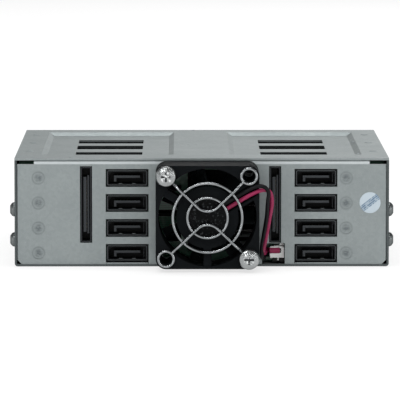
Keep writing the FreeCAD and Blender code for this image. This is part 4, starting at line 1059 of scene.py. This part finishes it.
def solderParts(spec):
    low, high = boxOf("backplane_pcb")
    front, rear = high[1], low[1]

    def atEach(shape, places):
        return repeat(shape, [(x, 0, z) for x, z in places])

    def atRows(shape, rows):
        return repeat(shape, [(x, 0, z) for z, row in rows.items() for x in row])

    tall, half, short = spec["smallTall"], spec["chipHalf"], spec["chipShort"]
    addPiece("board_small_parts", [
        atRows(standing(front, *spec["smallHalf"], tall), spec["front"]),
        atRows(standing(rear, *spec["smallHalf"], -tall), spec["rear"]),
    ], "ceramicPart")
    chip = standing(front, half, short, spec["chipTall"])
    addPiece("board_chips", [atEach(chip, spec["chips"])], "chipPlastic")
    pin = standing(front, spec["pinHalf"], short + spec["pinReach"], spec["pinTall"])
    pinX = np.linspace(-half + spec["pinEdge"], half - spec["pinEdge"], spec["pins"])
    pins = [repeat(pin, [(x + step, 0, z) for x, z in spec["chips"] for step in pinX])]
    addPiece("board_chip_pins", pins, "platedScrew")
    radius, height = spec["canRadius"], spec["canTall"]
    can = turned((0, front, 0), [
        (radius * 0.5, height), (radius * 0.9, height), (radius, height - 0.25),
        (radius, 0.9), (radius * 0.93, 0.7), (radius, 0.5), (radius, -shallowSink),
    ])
    addPiece("board_cans", [atEach(can, spec["cans"])], "platedScrew")


solderParts(boardParts)
print("board parts soldered")


# each tray's front: lamp lenses, grip ribs on the lever, a foam dust pad behind the slots
trayFront = {
    "trayDrop": 0.3, "lampX": 32.4, "lampZ": (("green", 3.2), ("amber", 6.4)),
    "lampRadius": 0.74, "lampDepth": 0.9,
    "ribX": (13.9, 14.9, 15.9), "ribHalf": 0.22, "ribHigh": 0.3, "ribRoom": 1.0,
    "padHalf": 34.0, "padLow": 1.1, "padHigh": 7.4, "padThick": 1.2, "padGap": 0.9,
    "ribRound": (0.2, 0.15), "padRound": (0.4, 0.2),
}


def dressTrayFronts(spec):
    radius = spec["lampRadius"]
    dome = [
        (needle, 0.06), (radius * 0.5, 0.03), (radius * 0.9, -0.08), (radius, -0.2),
        (radius, -spec["lampDepth"]),
    ]
    for number in range(1, 9):
        low, high = boxOf("bezel_%d" % number)
        middle, floor, face = (low[0] + high[0]) / 2, low[2] - spec["trayDrop"], high[1]
        tray = "drive_tray_%d" % number
        for colour, rise in spec["lampZ"]:
            lens = turned((middle + spec["lampX"], face, floor + rise), dome, 16)
            addPiece(
                "lamp_%d_%s" % (number, colour), [lens], colour + "Lens", tray)
        barLow, barHigh = boxOf("lever_%d" % number)
        rib = block(
            (-spec["ribHalf"], face - sink, barLow[2] + spec["ribRoom"]),
            (spec["ribHalf"], face + spec["ribHigh"], barHigh[2] - spec["ribRoom"]),
            *spec["ribRound"])
        ribs = [repeat(rib, [(middle + x, 0, 0) for x in spec["ribX"]])]
        addPiece(
            "lever_ribs_%d" % number, ribs, "blackPlastic",
            "swing_lever_%d" % number)
        plate = low[1] - spec["padGap"]
        pad = block(
            (middle - spec["padHalf"], plate - spec["padThick"], floor + spec["padLow"]),
            (middle + spec["padHalf"], plate, floor + spec["padHigh"]), *spec["padRound"])
        addPiece("dust_pad_%d" % number, [pad], "blackFoam", tray)


dressTrayFronts(trayFront)
print("tray fronts detailed")


# four dimples in the cover's rim and two smaller ones between its pans, by their x and y
coverMarks = {
    "dimples": [(-51.1, -62.6), (-3.0, 63.0), (61.8, 7.5), (61.5, -46.0)],
    "pips": [(-5.2, -6.0), (-2.0, -6.0)], "dimple": 0.9, "pip": 0.5, "rise": 0.28,
}


def markCover(spec):
    # a low dome: its height falls with the square of the distance from the middle
    top = boxOf("top_cover")[1][2]
    radius, pip = spec["dimple"], spec["pip"]
    slope = np.linspace(0.06, 1.0, 6)
    dome = [(radius * part, spec["rise"] * (1 - part ** 2)) for part in slope] + [(radius, -sink)]
    small = [(away * pip / radius, height / 2) for away, height in dome]
    marks = [upright(turned((x, top, y), dome, 20)) for x, y in spec["dimples"]]
    marks += [upright(turned((x, top, y), small, 12)) for x, y in spec["pips"]]
    addPiece("cover_dimples", marks, "galvanisedSteel")


markCover(coverMarks)
print("cover marked")


# the floor lies a little below the cage's feet; sizes in metres
studio = {
    "floorHalf": 3.0, "floorDrop": 0.0002, "floorPale": (0.9, 0.9, 0.9, 1.0), "floorRough": 0.8,
    "floorShine": 0.1, "glow": 0.72, "worldLight": 0.68, "ceiling": 0.22,
    "ceilingFrom": (0.2, 0.45), "white": (1.0, 1.0, 1.0, 1.0),
}


def seenRays(tree):
    # rays from the camera, and rays that a mirror or clear surface sends on
    rays = addNode(tree, "ShaderNodeLightPath").outputs
    mirrored = mathNode("MAXIMUM", rays["Is Glossy Ray"], rays["Is Transmission Ray"])
    return rays["Is Camera Ray"], mirrored


def makeStage(spec):
    half, low = spec["floorHalf"], -spec["floorDrop"]
    mesh = bpy.data.meshes.new("floor")
    corners = [(-half, -half, low), (half, -half, low), (half, half, low), (-half, half, low)]
    mesh.from_pydata(corners, [], [(0, 1, 2, 3)])
    floor = bpy.data.objects.new("floor", mesh)
    scene.collection.objects.link(floor)
    made, tree = newMaterial("paleFloor")
    shader = tree.nodes["Principled BSDF"]
    feed(shader, {
        "Base Color": spec["floorPale"], "Roughness": spec["floorRough"],
        "Specular IOR Level": spec["floorShine"],
    })
    glow = addNode(tree, "ShaderNodeEmission", {"Color": spec["white"]})
    seen = mathNode("MAXIMUM", *seenRays(tree))
    mix = addNode(tree, "ShaderNodeMixShader", {
        0: times(seen, spec["glow"]), 1: shader.outputs["BSDF"], 2: glow.outputs["Emission"],
    })
    feed(tree.nodes["Material Output"], {"Surface": mix.outputs["Shader"]})
    mesh.materials.append(made)


def makeWorld(spec):
    # seen rays find white, or for mirrors a white horizon under a darker ceiling; all others
    # find the world's light
    world = bpy.data.worlds.new("studio")
    scene.world = world
    world.use_nodes = True
    tree = world.node_tree
    place = addNode(tree, "ShaderNodeTexCoord").outputs["Generated"]
    ceiling = spread(partsOf(place)[2], 1.0, spec["ceiling"], *spec["ceilingFrom"])
    direct, mirrored = seenRays(tree)
    seen = mathNode("MAXIMUM", direct, times(mirrored, ceiling))
    other = mathNode("SUBTRACT", 1.0, mathNode("MAXIMUM", direct, mirrored))
    feed(tree.nodes["Background"], {
        "Color": spec["white"],
        "Strength": mathNode("ADD", seen, times(other, spec["worldLight"])),
    })


# soft boxes: name, stand, target, width, height, power in watts
softBoxes = [
    ("overhead", (0.0, 0.12, 1.30), (0.0, 0.0, 0.0), 1.0, 0.7, 8.6),
    ("behindLeft", (-1.20, -1.30, 0.70), (0.0, -0.06, 0.02), 0.10, 1.3, 4.2),
    ("behindRight", (1.30, -1.10, 0.60), (0.0, -0.06, 0.02), 0.10, 1.3, 3.6),
    ("strip", (-0.30, -1.00, 1.10), (0.0, -0.08, 0.02), 1.1, 0.08, 6.0),
    ("front", (0.40, 1.60, 0.80), (0.0, 0.05, 0.02), 1.0, 0.8, 7.0),
]


def makeSoftBox(name, stand, target, width, height, power):
    data = bpy.data.lights.new(name, "AREA")
    data.shape = "RECTANGLE"
    data.size = width
    data.size_y = height
    data.energy = power
    lamp = bpy.data.objects.new(name, data)
    scene.collection.objects.link(lamp)
    aim(lamp, stand, target)


makeStage(studio)
makeWorld(studio)
for box in softBoxes:
    makeSoftBox(*box)
print("stage lit")
